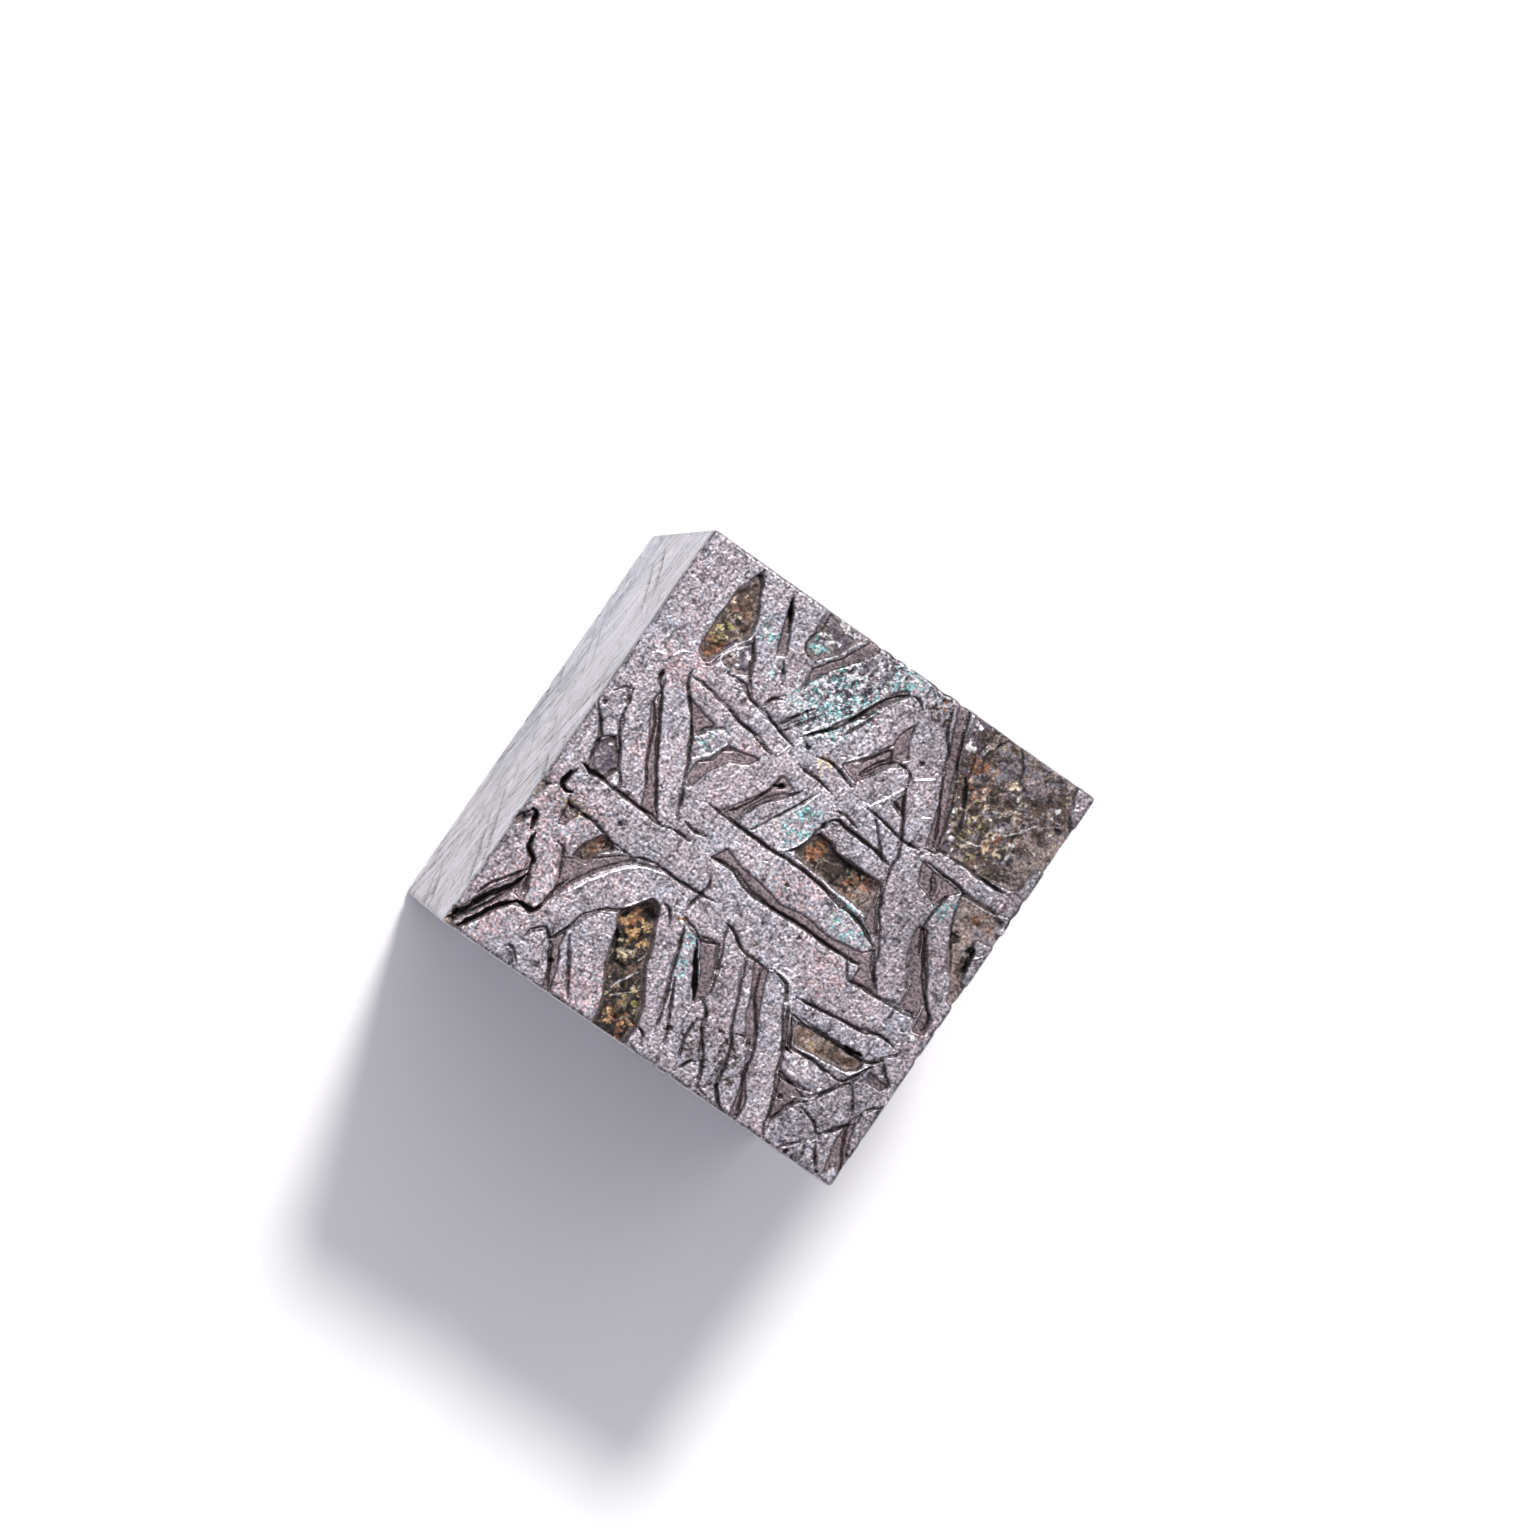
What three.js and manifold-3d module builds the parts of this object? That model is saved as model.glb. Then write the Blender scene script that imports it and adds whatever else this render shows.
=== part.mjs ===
// A sawn and etched cube of iron meteorite. Etching has cut the softer strips, the pits and the thin
// seams between the iron plates into its faces. The top face follows the real one, and the other faces
// show plates of the same crystal running on through the block.
import * as THREE from 'three';
import { RoundedBoxGeometry } from 'three/addons/geometries/RoundedBoxGeometry.js';
import { mergeVertices } from 'three/addons/utils/BufferGeometryUtils.js';
import Module from 'manifold-3d';

// Driving dimensions in millimetres
const SIDE = 20;
const EDGE_RADIUS = 0.22;
const EDGE_STEPS = 2;
const STRIP_DEPTH = 0.15;
const SEAM_WIDTH = 0.15;
const SEAM_DEPTH = 0.26;
const CRACK_WIDTH = 0.24;
const CRACK_DEPTH = 0.5;
const SEAM_STEP = 1.5;
const SIDE_SEAM_WIDTH = 0.22;
const SIDE_SEAM_DEPTH = 0.18;
const CUTTER_RISE = 1;
const WELD_DISTANCE = 1e-4;

// A seam's width at its tips, as a share of its width in the middle
const SEAM_TIP_SHARE = 0.55;

// A lump's length and breadth, as shares of its radius
const LUMP_LENGTH = 1.2;
const LUMP_BREADTH = 0.7;

// The plates of the crystal lie level or lean by the angle between two faces of an octahedron
const PLATE_LEAN = Math.acos(1 / 3);
const LEVEL_PLATE = new THREE.Vector3(0, 0, 1);
const LEANING_PLATES = [90, 210, 330].map((azimuth) => new THREE.Vector3(
  Math.sin(PLATE_LEAN) * Math.cos(THREE.MathUtils.degToRad(azimuth)),
  Math.sin(PLATE_LEAN) * Math.sin(THREE.MathUtils.degToRad(azimuth)),
  Math.cos(PLATE_LEAN),
));
const SHALLOWEST_CUT = 0.5;

// Smooth recessed strips of the top face, each an outline measured from the face's near left corner
const STRIPS = [
  [[4.5, 19.1], [4.95, 18.5], [5.3, 17.9], [5.55, 17.4], [5.2, 17.15], [4.85, 18.1]],
  [[8.45, 20.5], [9, 20.5], [8.45, 19.2], [7.45, 17.95], [7, 17], [6.95, 16.5], [6.8, 17.6], [7.65, 18.7]],
  [[10.7, 19.1], [10.35, 18.8], [9.8, 17.85], [9.35, 16.85], [8.8, 16.1], [9.2, 16.45], [9.85, 17.1],
    [10.15, 18.1], [10.8, 18.9]],
  [[11.8, 18.15], [12, 17.3], [12.35, 16.7], [12, 16.35], [11.4, 15.5], [11, 14.7], [10.1, 14.95],
    [10.95, 16], [11.5, 16.9], [11.5, 17.4]],
  [[13.05, 15.45], [13.4, 15], [13.6, 14.6], [12.9, 14.9]],
  [[12.7, 20.5], [13.25, 20.5], [13.6, 19.2], [14.2, 18], [14.7, 16.8], [15.2, 15.4], [15.6, 14.3],
    [15.05, 14.15], [14.7, 15.4], [14.25, 16.5], [13.85, 17.5], [13.1, 19.3]],
  [[15.35, 13.6], [16.1, 13.5], [17.4, 13.4], [17.05, 13], [16.85, 12.3], [16.1, 12.6], [15.7, 12.7]],
  [[16.75, 11.3], [17.15, 11.3], [17.7, 10.4], [18.3, 9.5], [18.9, 8.7], [18.85, 8.05], [18, 8.05],
    [17.95, 9], [17.1, 10.1], [16.8, 10.6]],
  [[7.75, 8.6], [8.15, 9.3], [9, 9], [10.2, 8.9], [11.3, 8.65], [12.3, 8.85], [13.8, 8.65], [15.4, 8.95],
    [15.8, 9.4], [16.2, 8.6], [16.9, 7.85], [15.75, 7.6], [15.7, 8.45], [14.2, 8.35], [12.6, 8.4],
    [11.3, 8.3], [9.9, 8.35], [8.8, 8.75]],
  [[14.45, 11.8], [14.8, 11.05], [15.65, 9.75], [14.7, 10.1], [14.55, 11]],
  [[8.4, 13.15], [9, 13], [8.7, 12.3], [8.1, 11.4], [7.75, 10.45], [7, 10.45], [7.7, 11.4], [8.25, 12.4]],
  [[5.65, 12.8], [7.15, 13.15], [6.8, 12.7], [6.1, 12.3], [5.6, 11.5], [5.4, 10.6], [4.95, 10.7],
    [5, 11.5], [5.5, 12.2]],
  [[3.1, 13.6], [4.7, 13.25], [4.45, 12.6], [4.15, 12.3], [3.7, 12.95]],
  [[2, 13.3], [2.5, 12.5], [3.2, 11.3], [4.1, 9.8], [5, 8.65], [4.2, 8.6], [3.5, 10], [2.75, 11.3],
    [2.05, 12.4]],
  [[1.5, 7.05], [2, 7.1], [2.1, 6.9], [1.9, 6.2], [1.65, 6.2]],
  [[4.8, 6.65], [5.3, 6.7], [4.3, 5.75], [3.7, 4.8], [3.1, 3.3], [3, 4.2], [2.7, 5.1], [3.5, 5.6]],
  [[1.9, 3.75], [2.2, 3], [2.25, 2.6], [1.8, 2.7], [1.7, 3.2]],
  [[4.5, 2.9], [4.6, 1.9], [5.1, 1], [5.55, -0.5], [5.2, -0.5], [4.7, 1], [4.2, 2]],
  [[9.4, 5.5], [9.6, 5.75], [10.2, 5.75], [10.6, 5], [11.05, 3.85], [10.65, 3.1], [10.2, 4.4]],
  [[11.8, 6.1], [12.5, 6.05], [12.9, 5], [13.4, 3.9], [13.85, 3], [13.55, 2.9], [12.8, 4.1], [12.3, 5.2]],
  [[14, 2.6], [14.25, 1.9], [14.85, 1], [15.1, -0.5], [14.8, -0.5], [14.4, 1.2]],
  [[14.15, 5.25], [14.7, 4.95], [15.2, 3.9], [14.9, 3.55], [14.6, 4.3]],
  [[15.4, 2.9], [16.9, 2.5], [16.4, 1.8], [16.15, 0.8], [15.75, 1.7]],
  [[18.6, 4.95], [19.6, 4.95], [19.4, 4.6], [18.8, 4.6]],
  [[19.1, 2.6], [19.35, 2.85], [19.7, 1.5], [20.5, 0.8], [20.5, 0.3], [19.5, 0.9], [19.35, 0.3],
    [19.05, 1.8]],
  [[18.9, 8.75], [19.6, 8.2], [19.55, 7.55], [19.1, 7.5]],
];

// Rough pits of the top face, with the depth of each
const PITS = [
  {
    depth: 0.42,
    outline: [[2.75, 19.8], [3.15, 18.9], [3.65, 18], [3.85, 17.2], [3.2, 15.9], [2.9, 15.1], [2.4, 15.5],
      [2.25, 17.2], [2.35, 18.4]],
  },
  {
    depth: 0.22,
    outline: [[4.1, 17], [4.7, 16.2], [4.75, 15.8], [4.2, 15.55], [3.35, 15.6], [3.6, 16.2]],
  },
  {
    depth: 0.12,
    outline: [[5.9, 20.5], [8.15, 20.5], [7.4, 18.8], [6.7, 17.9], [6.05, 18]],
  },
  {
    depth: 0.24,
    outline: [[13.8, 20.5], [14.5, 20.5], [14.65, 18.3], [15.35, 16.7], [15.9, 15.2], [16, 14.3],
      [15.7, 14.3], [15.1, 16], [14.3, 17.8], [13.85, 19]],
  },
  {
    depth: 0.34,
    outline: [[14.75, 20.5], [18.8, 20.5], [19.3, 19], [19.8, 18.3], [20.5, 18.1], [20.5, 16.3],
      [19.6, 16.1], [19.3, 14.7], [17.6, 14.5], [16.1, 14.45], [15.9, 16], [15.1, 17.5], [14.75, 18.6]],
  },
  {
    depth: 0.28,
    outline: [[17.5, 13.45], [19.7, 13.4], [19.7, 12.9], [20.5, 12.3], [19.1, 12.2], [19.3, 11.3],
      [19.7, 10.2], [20.5, 10.4], [20.5, 9.2], [19.7, 9.2], [19.2, 10.2], [18.6, 10.7], [18, 12]],
  },
  {
    depth: 0.5,
    outline: [[11, 12], [11.6, 11.95], [12, 11.75], [14.35, 11.8], [14.6, 11], [14.65, 10.4], [12.8, 10.5],
      [10.6, 10.7]],
  },
  {
    depth: 0.32,
    outline: [[1.55, 10.55], [2.4, 9.4], [2.15, 8.8], [1.3, 8.8], [1.1, 9.8]],
  },
  {
    depth: 0.45,
    outline: [[3.5, 6.8], [4.5, 6.65], [3.75, 6.1], [3.55, 5.4], [2.85, 5.35], [3.05, 6.1]],
  },
  {
    depth: 0.6,
    outline: [[6.75, 5.8], [7.15, 5.6], [7.8, 4.3], [8.1, 3.3], [9, 1.9], [9.25, 0.9], [9.2, -0.5],
      [7.85, -0.5], [7.3, 1.3], [6.7, 2.4], [6.2, 3.9], [5.85, 4.4]],
  },
  {
    depth: 0.3,
    outline: [[14.75, 5.05], [18.1, 5.15], [18.15, 4.8], [17.7, 4.45], [15.25, 4.1]],
  },
];

// Lumps left standing on the floors of the pits: place, radius and height above the floor
const LUMPS = [
  [2.9, 18.1, 0.36, 0.2], [3, 16.3, 0.4, 0.26], [3.4, 17.4, 0.32, 0.16],
  [15.4, 18.1, 0.55, 0.16], [15.9, 16.8, 0.45, 0.2], [16.7, 15.4, 0.6, 0.18], [16.6, 17.9, 0.5, 0.2],
  [17.6, 18.9, 0.8, 0.22], [18.1, 17.2, 0.42, 0.26], [18.4, 15.6, 0.6, 0.14], [19.1, 17.5, 0.5, 0.2],
  [15.7, 19.3, 0.5, 0.2], [17.2, 17, 0.45, 0.14],
  [18.6, 12.9, 0.5, 0.12], [18.9, 11.4, 0.45, 0.14],
  [11.5, 11.3, 0.42, 0.24], [12.5, 10.9, 0.4, 0.2], [13.3, 11.4, 0.42, 0.3], [14.1, 10.9, 0.4, 0.22],
  [7, 4.35, 0.55, 0.4], [7.2, 3, 0.42, 0.3], [7.9, 2.2, 0.4, 0.34], [8.3, 1.2, 0.45, 0.4],
  [8.7, 0.5, 0.42, 0.36], [16.1, 4.6, 0.45, 0.12], [17.3, 4.75, 0.4, 0.1], [3.3, 6.2, 0.3, 0.24],
];

// Thin seams round the plates of the top face, each a smooth line
const SEAMS = [
  [[2.78, 19.8], [2.8, 19.2], [2.4, 18.45]],
  [[4.45, 19.6], [4.65, 19], [5, 18.4]],
  [[4.15, 17.1], [3.7, 16.5], [3.3, 15.9], [3.2, 15.2], [2.6, 14.85]],
  [[3.95, 17.3], [4.35, 16.7], [4.75, 16.1]],
  [[5.35, 17.15], [5.5, 16.75], [5.8, 16.85], [6.1, 16.3]],
  [[4, 15.3], [4.7, 15.35], [5.3, 15.05], [5.9, 14.9], [6.5, 14.8], [7.2, 14.55], [7.9, 14.4]],
  [[5.92, 14.95], [6.2, 15.6], [6.6, 16.05]],
  [[7.15, 14.6], [7.35, 15.05], [7.75, 15.6]],
  [[6.85, 14.65], [7.1, 15.15], [7.5, 15.65]],
  [[11.6, 18.7], [11.2, 19.1], [10.5, 18.7], [10, 17.7], [9.4, 16.8], [8.6, 15.6], [8, 14.7], [7.9, 14.3]],
  [[9.2, 14.6], [9.6, 14.8], [10.4, 14.6], [11.05, 14.35]],
  [[8.6, 13.9], [9.6, 13.88], [10.4, 13.65]],
  [[11.1, 14.8], [11.4, 15.4], [12.1, 16.3], [12.5, 16.35], [12.9, 15.9]],
  [[11.5, 16.75], [11, 16.05], [10.5, 15.3]],
  [[13.15, 15.35], [13.6, 14.6], [14, 13.8], [14.25, 13.1]],
  [[12.6, 14.85], [13.1, 14.78], [13.6, 14.55]],
  [[12, 14.1], [13, 14], [14, 13.82], [15.2, 13.9]],
  [[14.05, 18.1], [14.5, 17.1], [15, 16], [15.55, 14.6]],
  [[16.1, 14.38], [17.2, 14.45], [18.4, 14.42], [19.2, 14.45]],
  [[15.6, 13.72], [16.6, 13.62], [17.6, 13.4], [18.8, 13.45], [20.3, 13.75]],
  [[16.05, 13.4], [16.35, 13], [16.55, 12.5]],
  [[16.75, 10.6], [17.1, 9.9], [17.8, 9.05], [18, 8.2]],
  [[17.25, 11.3], [17.6, 10.6], [18.3, 9.6], [18.9, 8.7]],
  [[15.6, 7.4], [16, 7.68], [17, 7.75], [18.1, 7.98], [18.9, 7.95], [19.05, 7.4]],
  [[14.35, 12.8], [14.45, 11.7], [15.1, 10.5], [15.8, 9.4], [16.1, 8.7], [16.9, 7.85]],
  [[11.02, 12.4], [11.2, 12.9], [11.8, 12.92], [12.6, 12.82], [13.6, 12.75], [14.35, 12.6]],
  [[11, 12], [10.9, 11.5], [10.5, 10.8], [10.1, 10.4]],
  [[6.4, 10.42], [7.6, 10.38], [8.6, 10.32], [9.7, 10.25], [11.2, 10.42], [12.6, 10.3], [14, 10.08],
    [15, 9.85], [15.8, 9.45]],
  [[9.4, 13.15], [8.9, 12.6], [8.35, 11.9], [7.95, 11.1], [7.78, 10.45]],
  [[10.05, 13.3], [9.6, 12.4], [9, 11.3], [8.5, 10.35]],
  [[6.1, 12.85], [5.6, 12.7], [5.4, 12], [4.95, 11.5]],
  [[4.93, 10.75], [5.15, 10.45], [5.55, 10.6]],
  [[5.1, 10.4], [5.35, 9.8], [5.6, 9]],
  [[5.6, 8.65], [6.2, 8.7], [6.8, 8.6]],
  [[6, 9.2], [6.6, 9.12], [7.3, 9.25]],
  [[3.7, 13], [4.15, 12.3], [4.6, 11.4], [4.95, 10.8]],
  [[4.2, 12.3], [4.6, 13.05], [5.1, 13.35], [5.8, 13.15]],
  [[2.6, 14.7], [2.78, 14.1], [3.2, 13.55]],
  [[2.8, 14.4], [3.8, 14.35], [4.5, 14.2], [5.5, 14], [6.2, 13.98], [7.4, 13.6]],
  [[1.75, 13.9], [2, 13.3], [2.15, 12.6]],
  [[1.1, 11.7], [1.4, 11.4], [1.5, 10.8], [2, 10.2], [2.4, 9.4], [2.8, 9.2]],
  [[0.45, 12.2], [0.9, 12.42], [1.15, 12.1], [1.1, 11.6]],
  [[0.1, 11.1], [0.6, 10.7], [1.05, 9.9], [1.3, 9], [1.2, 8.75]],
  [[1.05, 8.85], [2.2, 8.7], [3.2, 8.6], [4.3, 8.58], [5.3, 8.5]],
  [[7.7, 8.55], [8.7, 8.75], [9.9, 8.35], [11.3, 8.26], [12.7, 8.36], [14.2, 8.32], [15.3, 8.5]],
  [[1.1, 8.45], [0.87, 8.1], [0.85, 7.5], [1.3, 7.35]],
  [[0.85, 7.6], [0.3, 7.3], [0.2, 6.6], [0.55, 6.1]],
  [[1.3, 7.3], [1.7, 6.9], [2.4, 7.03], [3.2, 6.95]],
  [[9.1, 7.1], [7.6, 7], [6, 7], [4.8, 6.25], [3.9, 5.1], [3.35, 3.9], [3.05, 3]],
  [[8.4, 7.1], [8.42, 7.6], [8.2, 7.95]],
  [[8.2, 7.05], [8.22, 6.5], [8.1, 5.95]],
  [[3.1, 1.2], [3.35, 1.8], [3.65, 2.22], [4.1, 2], [4.6, 1.2], [4.9, 0.5]],
  [[2.8, 0.35], [2.85, 0.65], [3.2, 0.45], [3.75, -0.3]],
  [[5.9, 4.3], [5.5, 4.3], [4.9, 3.8], [4.6, 2.9], [4.2, 2]],
  [[4.9, 2.5], [5.4, 1.5], [5.9, 0.7], [6.4, 0.1]],
  [[7.1, 5.85], [7.5, 5.8], [8, 5.4]],
  [[8, 5.9], [8.8, 5.7], [9.4, 5.45], [9.7, 5.75], [10.3, 5.75]],
  [[8.5, 5.6], [8.85, 4.7], [9.15, 3.6], [9.6, 2.4], [9.85, 1.4]],
  [[9.4, 3.6], [9.9, 2.6], [10.4, 1.7]],
  [[9.75, 6.65], [10.5, 6.6], [11, 6.2], [11.5, 6]],
  [[10.05, 6.5], [10.15, 5.9], [10.6, 5.1], [11, 4]],
  [[11.45, 6], [11.6, 5.3], [12, 4.6]],
  [[10.85, 3.5], [11.3, 3.3], [11.6, 2.5], [12.1, 1.6], [12.75, 0.6], [12.5, 0.15]],
  [[12.1, 1.3], [11.85, 0.9], [11.65, 0.4]],
  [[12.55, 3.4], [13.1, 2.6], [13.3, 1.5], [13.6, 0.6]],
  [[13.4, 3.3], [14, 2.4], [14.2, 1.7]],
  [[9.25, 1.05], [9.6, 0.88], [9.95, 0.6]],
  [[10.5, 0.95], [10.85, 0.5], [10.5, -0.3]],
  [[12.5, 6.15], [13.4, 6.05], [14, 5.3], [14.8, 4.1], [15.4, 2.7], [16.1, 0.9]],
  [[14, 5.75], [15.2, 5.95], [16.6, 6.15], [17.6, 6.35], [18.3, 6.5], [19.1, 6.4]],
  [[14.1, 5.3], [15, 5.2], [16.4, 5.17], [18.4, 5.2]],
  [[15.1, 3.85], [16, 4.03], [17, 3.97], [17.5, 3.55]],
  [[15.3, 2.9], [15.9, 2.8], [16.5, 2.85], [17.1, 2.95]],
  [[18.8, 5.5], [18.2, 4.6], [17.5, 3.3], [16.7, 2.2], [16.2, 0.9], [16.45, -0.4]],
  [[19.3, 6.8], [19.1, 6.2], [18.65, 5.75], [19.2, 5.25], [19.7, 4.95]],
  [[19.85, 4.2], [19.4, 3.5], [19.3, 2.9], [18.4, 1.75], [18, 0.95], [18.3, 0.1]],
  [[18.4, 1.1], [18.75, 0.65], [19.2, 0.25]],
  [[19, 19.7], [19.3, 19.1], [19.45, 18.6], [19.9, 18.3]],
  [[19.65, 16.1], [19.4, 15.4], [19.35, 14.7], [20.2, 14.6]],
];

// Wider open cracks near the front left corner
const CRACKS = [
  [[0.1, 4.5], [0.15, 5.2], [0.6, 5.95], [0.75, 5.6], [0.88, 5.2]],
  [[1.1, 5.25], [1.2, 4.6], [1.6, 4.25], [1.7, 3.9], [1.4, 3], [0.7, 1.9], [0.4, 0.9], [-0.4, 0]],
  [[1.85, 3.1], [1.5, 2.3], [1, 1.35], [0.4, 0.5], [-0.2, -0.5]],
  [[3.05, 3.1], [2.85, 2.5], [2.2, 2.6], [1.5, 1.7], [1.1, 1], [0.35, -0.3]],
];

// Plates of the top face that can be followed over its edges: leaning family, place on the top face,
// width there and radius
const FOLLOWED_PLATES = [
  { family: 0, at: [19.2, 14], width: 0.85, radius: 6 },
  { family: 0, at: [19.5, 7.2], width: 1.4, radius: 7 },
  { family: 0, at: [0.5, 7.9], width: 1.4, radius: 5 },
  { family: 1, at: [12.9, 19.5], width: 0.8, radius: 8 },
  { family: 2, at: [8.7, 19.5], width: 0.6, radius: 6 },
  { family: 2, at: [10.6, 19.5], width: 1.4, radius: 5 },
  { family: 1, at: [8.6, 0.3], width: 1.4, radius: 7 },
  { family: 1, at: [14, 0.4], width: 1.3, radius: 5 },
  { family: 2, at: [1.4, 0.4], width: 1.1, radius: 4 },
  { family: 1, at: [0.3, 11.6], width: 1.1, radius: 7 },
];

// The other plates lie across the four sides and the base, a grid of them on each
const SCATTER_COLUMNS = 2;
const SCATTER_ROWS = 3;
const SCATTER_SEED = 17;
const PLATE_THICKNESSES = [0.75, 1.25];
const PLATE_RADII = [3.5, 7.5];
const SOFT_SHARE = 0.2;
const LENS_OVERRUN = 1.04;
const RANDOM_FACTOR = 16807;
const RANDOM_LIMIT = 2147483647;

const wasm = await Module();
wasm.setup();

// Repeatable random numbers from 0 to 1
function randomSource(seed) {
  let state = seed;
  return () => {
    state = (state * RANDOM_FACTOR) % RANDOM_LIMIT;
    return state / RANDOM_LIMIT;
  };
}

function solidFrom(geometry) {
  const bare = geometry.clone();
  bare.deleteAttribute('normal');
  bare.deleteAttribute('uv');
  const merged = mergeVertices(bare, WELD_DISTANCE);
  return new wasm.Manifold(new wasm.Mesh({
    numProp: 3,
    vertProperties: new Float32Array(merged.attributes.position.array),
    triVerts: new Uint32Array(merged.index.array),
  }));
}

function geometryFrom(solid) {
  const mesh = solid.getMesh();
  const geometry = new THREE.BufferGeometry();
  geometry.setAttribute('position', new THREE.BufferAttribute(new Float32Array(mesh.vertProperties), 3));
  geometry.setIndex(new THREE.BufferAttribute(new Uint32Array(mesh.triVerts), 1));
  geometry.computeVertexNormals();
  return geometry;
}

// A flat face of the cube: its outward normal and the two directions that outlines on it are drawn in
function cubeFace(uAxis, vAxis) {
  const normal = new THREE.Vector3().crossVectors(uAxis, vAxis);
  const middle = new THREE.Vector3(0, 0, SIDE / 2).addScaledVector(normal, SIDE / 2);
  return { uAxis, vAxis, normal, middle };
}

const X = new THREE.Vector3(1, 0, 0);
const Y = new THREE.Vector3(0, 1, 0);
const Z = new THREE.Vector3(0, 0, 1);
const TOP = cubeFace(X, Y);
const BASE = cubeFace(Y, X);
const SIDES = [cubeFace(X, Z), cubeFace(Z, X), cubeFace(Y, Z), cubeFace(Z, Y)];

// A prism that stands square on a face, from the given depth below it to some way above it
function prismOn(face, outline, depth, rise) {
  const shape = new THREE.Shape(outline.map(([u, v]) => new THREE.Vector2(u, v)));
  const prism = new THREE.ExtrudeGeometry(shape, { depth: depth + rise, bevelEnabled: false });
  prism.translate(0, 0, -depth);
  prism.applyMatrix4(new THREE.Matrix4().makeBasis(face.uAxis, face.vAxis, face.normal));
  return solidFrom(prism.translate(face.middle.x, face.middle.y, face.middle.z));
}

// A cutter for an outline that is measured from the top face's near left corner
function topCutter(outline, depth) {
  const centred = outline.map(([u, v]) => [u - SIDE / 2, v - SIDE / 2]);
  return prismOn(TOP, centred, depth, CUTTER_RISE);
}

// A ribbon along a smooth line, widest in its middle and pointed at both ends
function ribbonOutline(line, width) {
  const curve = new THREE.SplineCurve(line.map(([u, v]) => new THREE.Vector2(u, v)));
  const steps = Math.max(line.length - 1, Math.round(curve.getLength() / SEAM_STEP));
  const left = [];
  const right = [];
  for (let i = 1; i < steps; i += 1) {
    const along = i / steps;
    const middle = curve.getPointAt(along);
    const tangent = curve.getTangentAt(along);
    const swell = (1 - SEAM_TIP_SHARE) * Math.sin(Math.PI * along);
    const half = (width / 2) * (SEAM_TIP_SHARE + swell);
    left.push([middle.x - tangent.y * half, middle.y + tangent.x * half]);
    right.push([middle.x + tangent.y * half, middle.y - tangent.x * half]);
  }
  return [line[0], ...right, line[line.length - 1], ...left.reverse()];
}

// A low faceted lump that stands on a pit's floor
function lumpSolid([u, v, radius, height], floorZ) {
  const lump = new THREE.IcosahedronGeometry(1, 0);
  lump.rotateX(u);
  lump.scale(radius * LUMP_LENGTH, radius * LUMP_BREADTH, height);
  lump.rotateZ(v);
  return solidFrom(lump.translate(u - SIDE / 2, v - SIDE / 2, floorZ));
}

function isInside([u, v], outline) {
  let inside = false;
  outline.forEach(([uA, vA], index) => {
    const [uB, vB] = outline[(index + 1) % outline.length];
    const crosses = (vA > v) !== (vB > v) && u < ((uB - uA) * (v - vA)) / (vB - vA) + uA;
    inside = crosses ? !inside : inside;
  });
  return inside;
}

// A pit's cutter, less the lumps that stay on its floor
function pitCutter({ depth, outline }) {
  let cutter = topCutter(outline, depth);
  LUMPS.filter((lump) => isInside(lump, outline)).forEach((lump) => {
    cutter = cutter.subtract(lumpSolid(lump, SIDE - depth));
  });
  return cutter;
}

// How squarely a plate meets a face, from 0 for one that lies in the face to 1 for one that stands on it
function cutSteepness(face, normal) {
  return Math.sqrt(1 - face.normal.dot(normal) ** 2);
}

// Where a disc-shaped plate meets a face: its middle, direction, half length and width there
function traceOn(face, { normal, centre, thickness, radius }) {
  const steepness = cutSteepness(face, normal);
  if (steepness < SHALLOWEST_CUT) {
    return null;
  }
  const slope = face.normal.clone().addScaledVector(normal, -face.normal.dot(normal));
  const reach = face.normal.dot(face.middle.clone().sub(centre)) / steepness;
  if (Math.abs(reach) >= radius) {
    return null;
  }
  const middle = centre.clone().addScaledVector(slope.normalize(), reach).sub(face.middle);
  const along = new THREE.Vector3().crossVectors(normal, face.normal).normalize();
  return {
    middle: [middle.dot(face.uAxis), middle.dot(face.vAxis)],
    along: [along.dot(face.uAxis), along.dot(face.vAxis)],
    half: Math.sqrt(radius ** 2 - reach ** 2),
    width: thickness / steepness,
  };
}

// An outline given along and across a trace, turned into the face's own directions
function placeOnTrace({ middle, along }, corners) {
  return corners.map(([a, b]) => [
    middle[0] + a * along[0] - b * along[1],
    middle[1] + a * along[1] + b * along[0],
  ]);
}

function lensOutline(trace, offset, width) {
  const tip = trace.half * LENS_OVERRUN;
  const lens = [[tip, offset], [0, offset + width / 2], [-tip, offset], [0, offset - width / 2]];
  return placeOnTrace(trace, lens);
}

// Cuts the seams along both sides of a plate's trace, across whatever lay there before
function etchPlate(body, block, face, plate) {
  const trace = traceOn(face, plate);
  if (trace === null) {
    return body;
  }
  const { half, width } = trace;
  if (plate.isSoft) {
    return body.subtract(prismOn(face, lensOutline(trace, 0, width), STRIP_DEPTH, CUTTER_RISE));
  }
  const bar = [[half, 0], [half - width, width / 2], [-half, width / 2], [-half, 0],
    [width - half, -width / 2], [half, -width / 2]];
  const top = prismOn(face, placeOnTrace(trace, bar), 2 * SIDE_SEAM_DEPTH, CUTTER_RISE);
  const seams = [width / 2, -width / 2].map((offset) => (
    prismOn(face, lensOutline(trace, offset, SIDE_SEAM_WIDTH), SIDE_SEAM_DEPTH, CUTTER_RISE)
  ));
  return body.add(top.intersect(block)).subtract(seams[0]).subtract(seams[1]);
}

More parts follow.
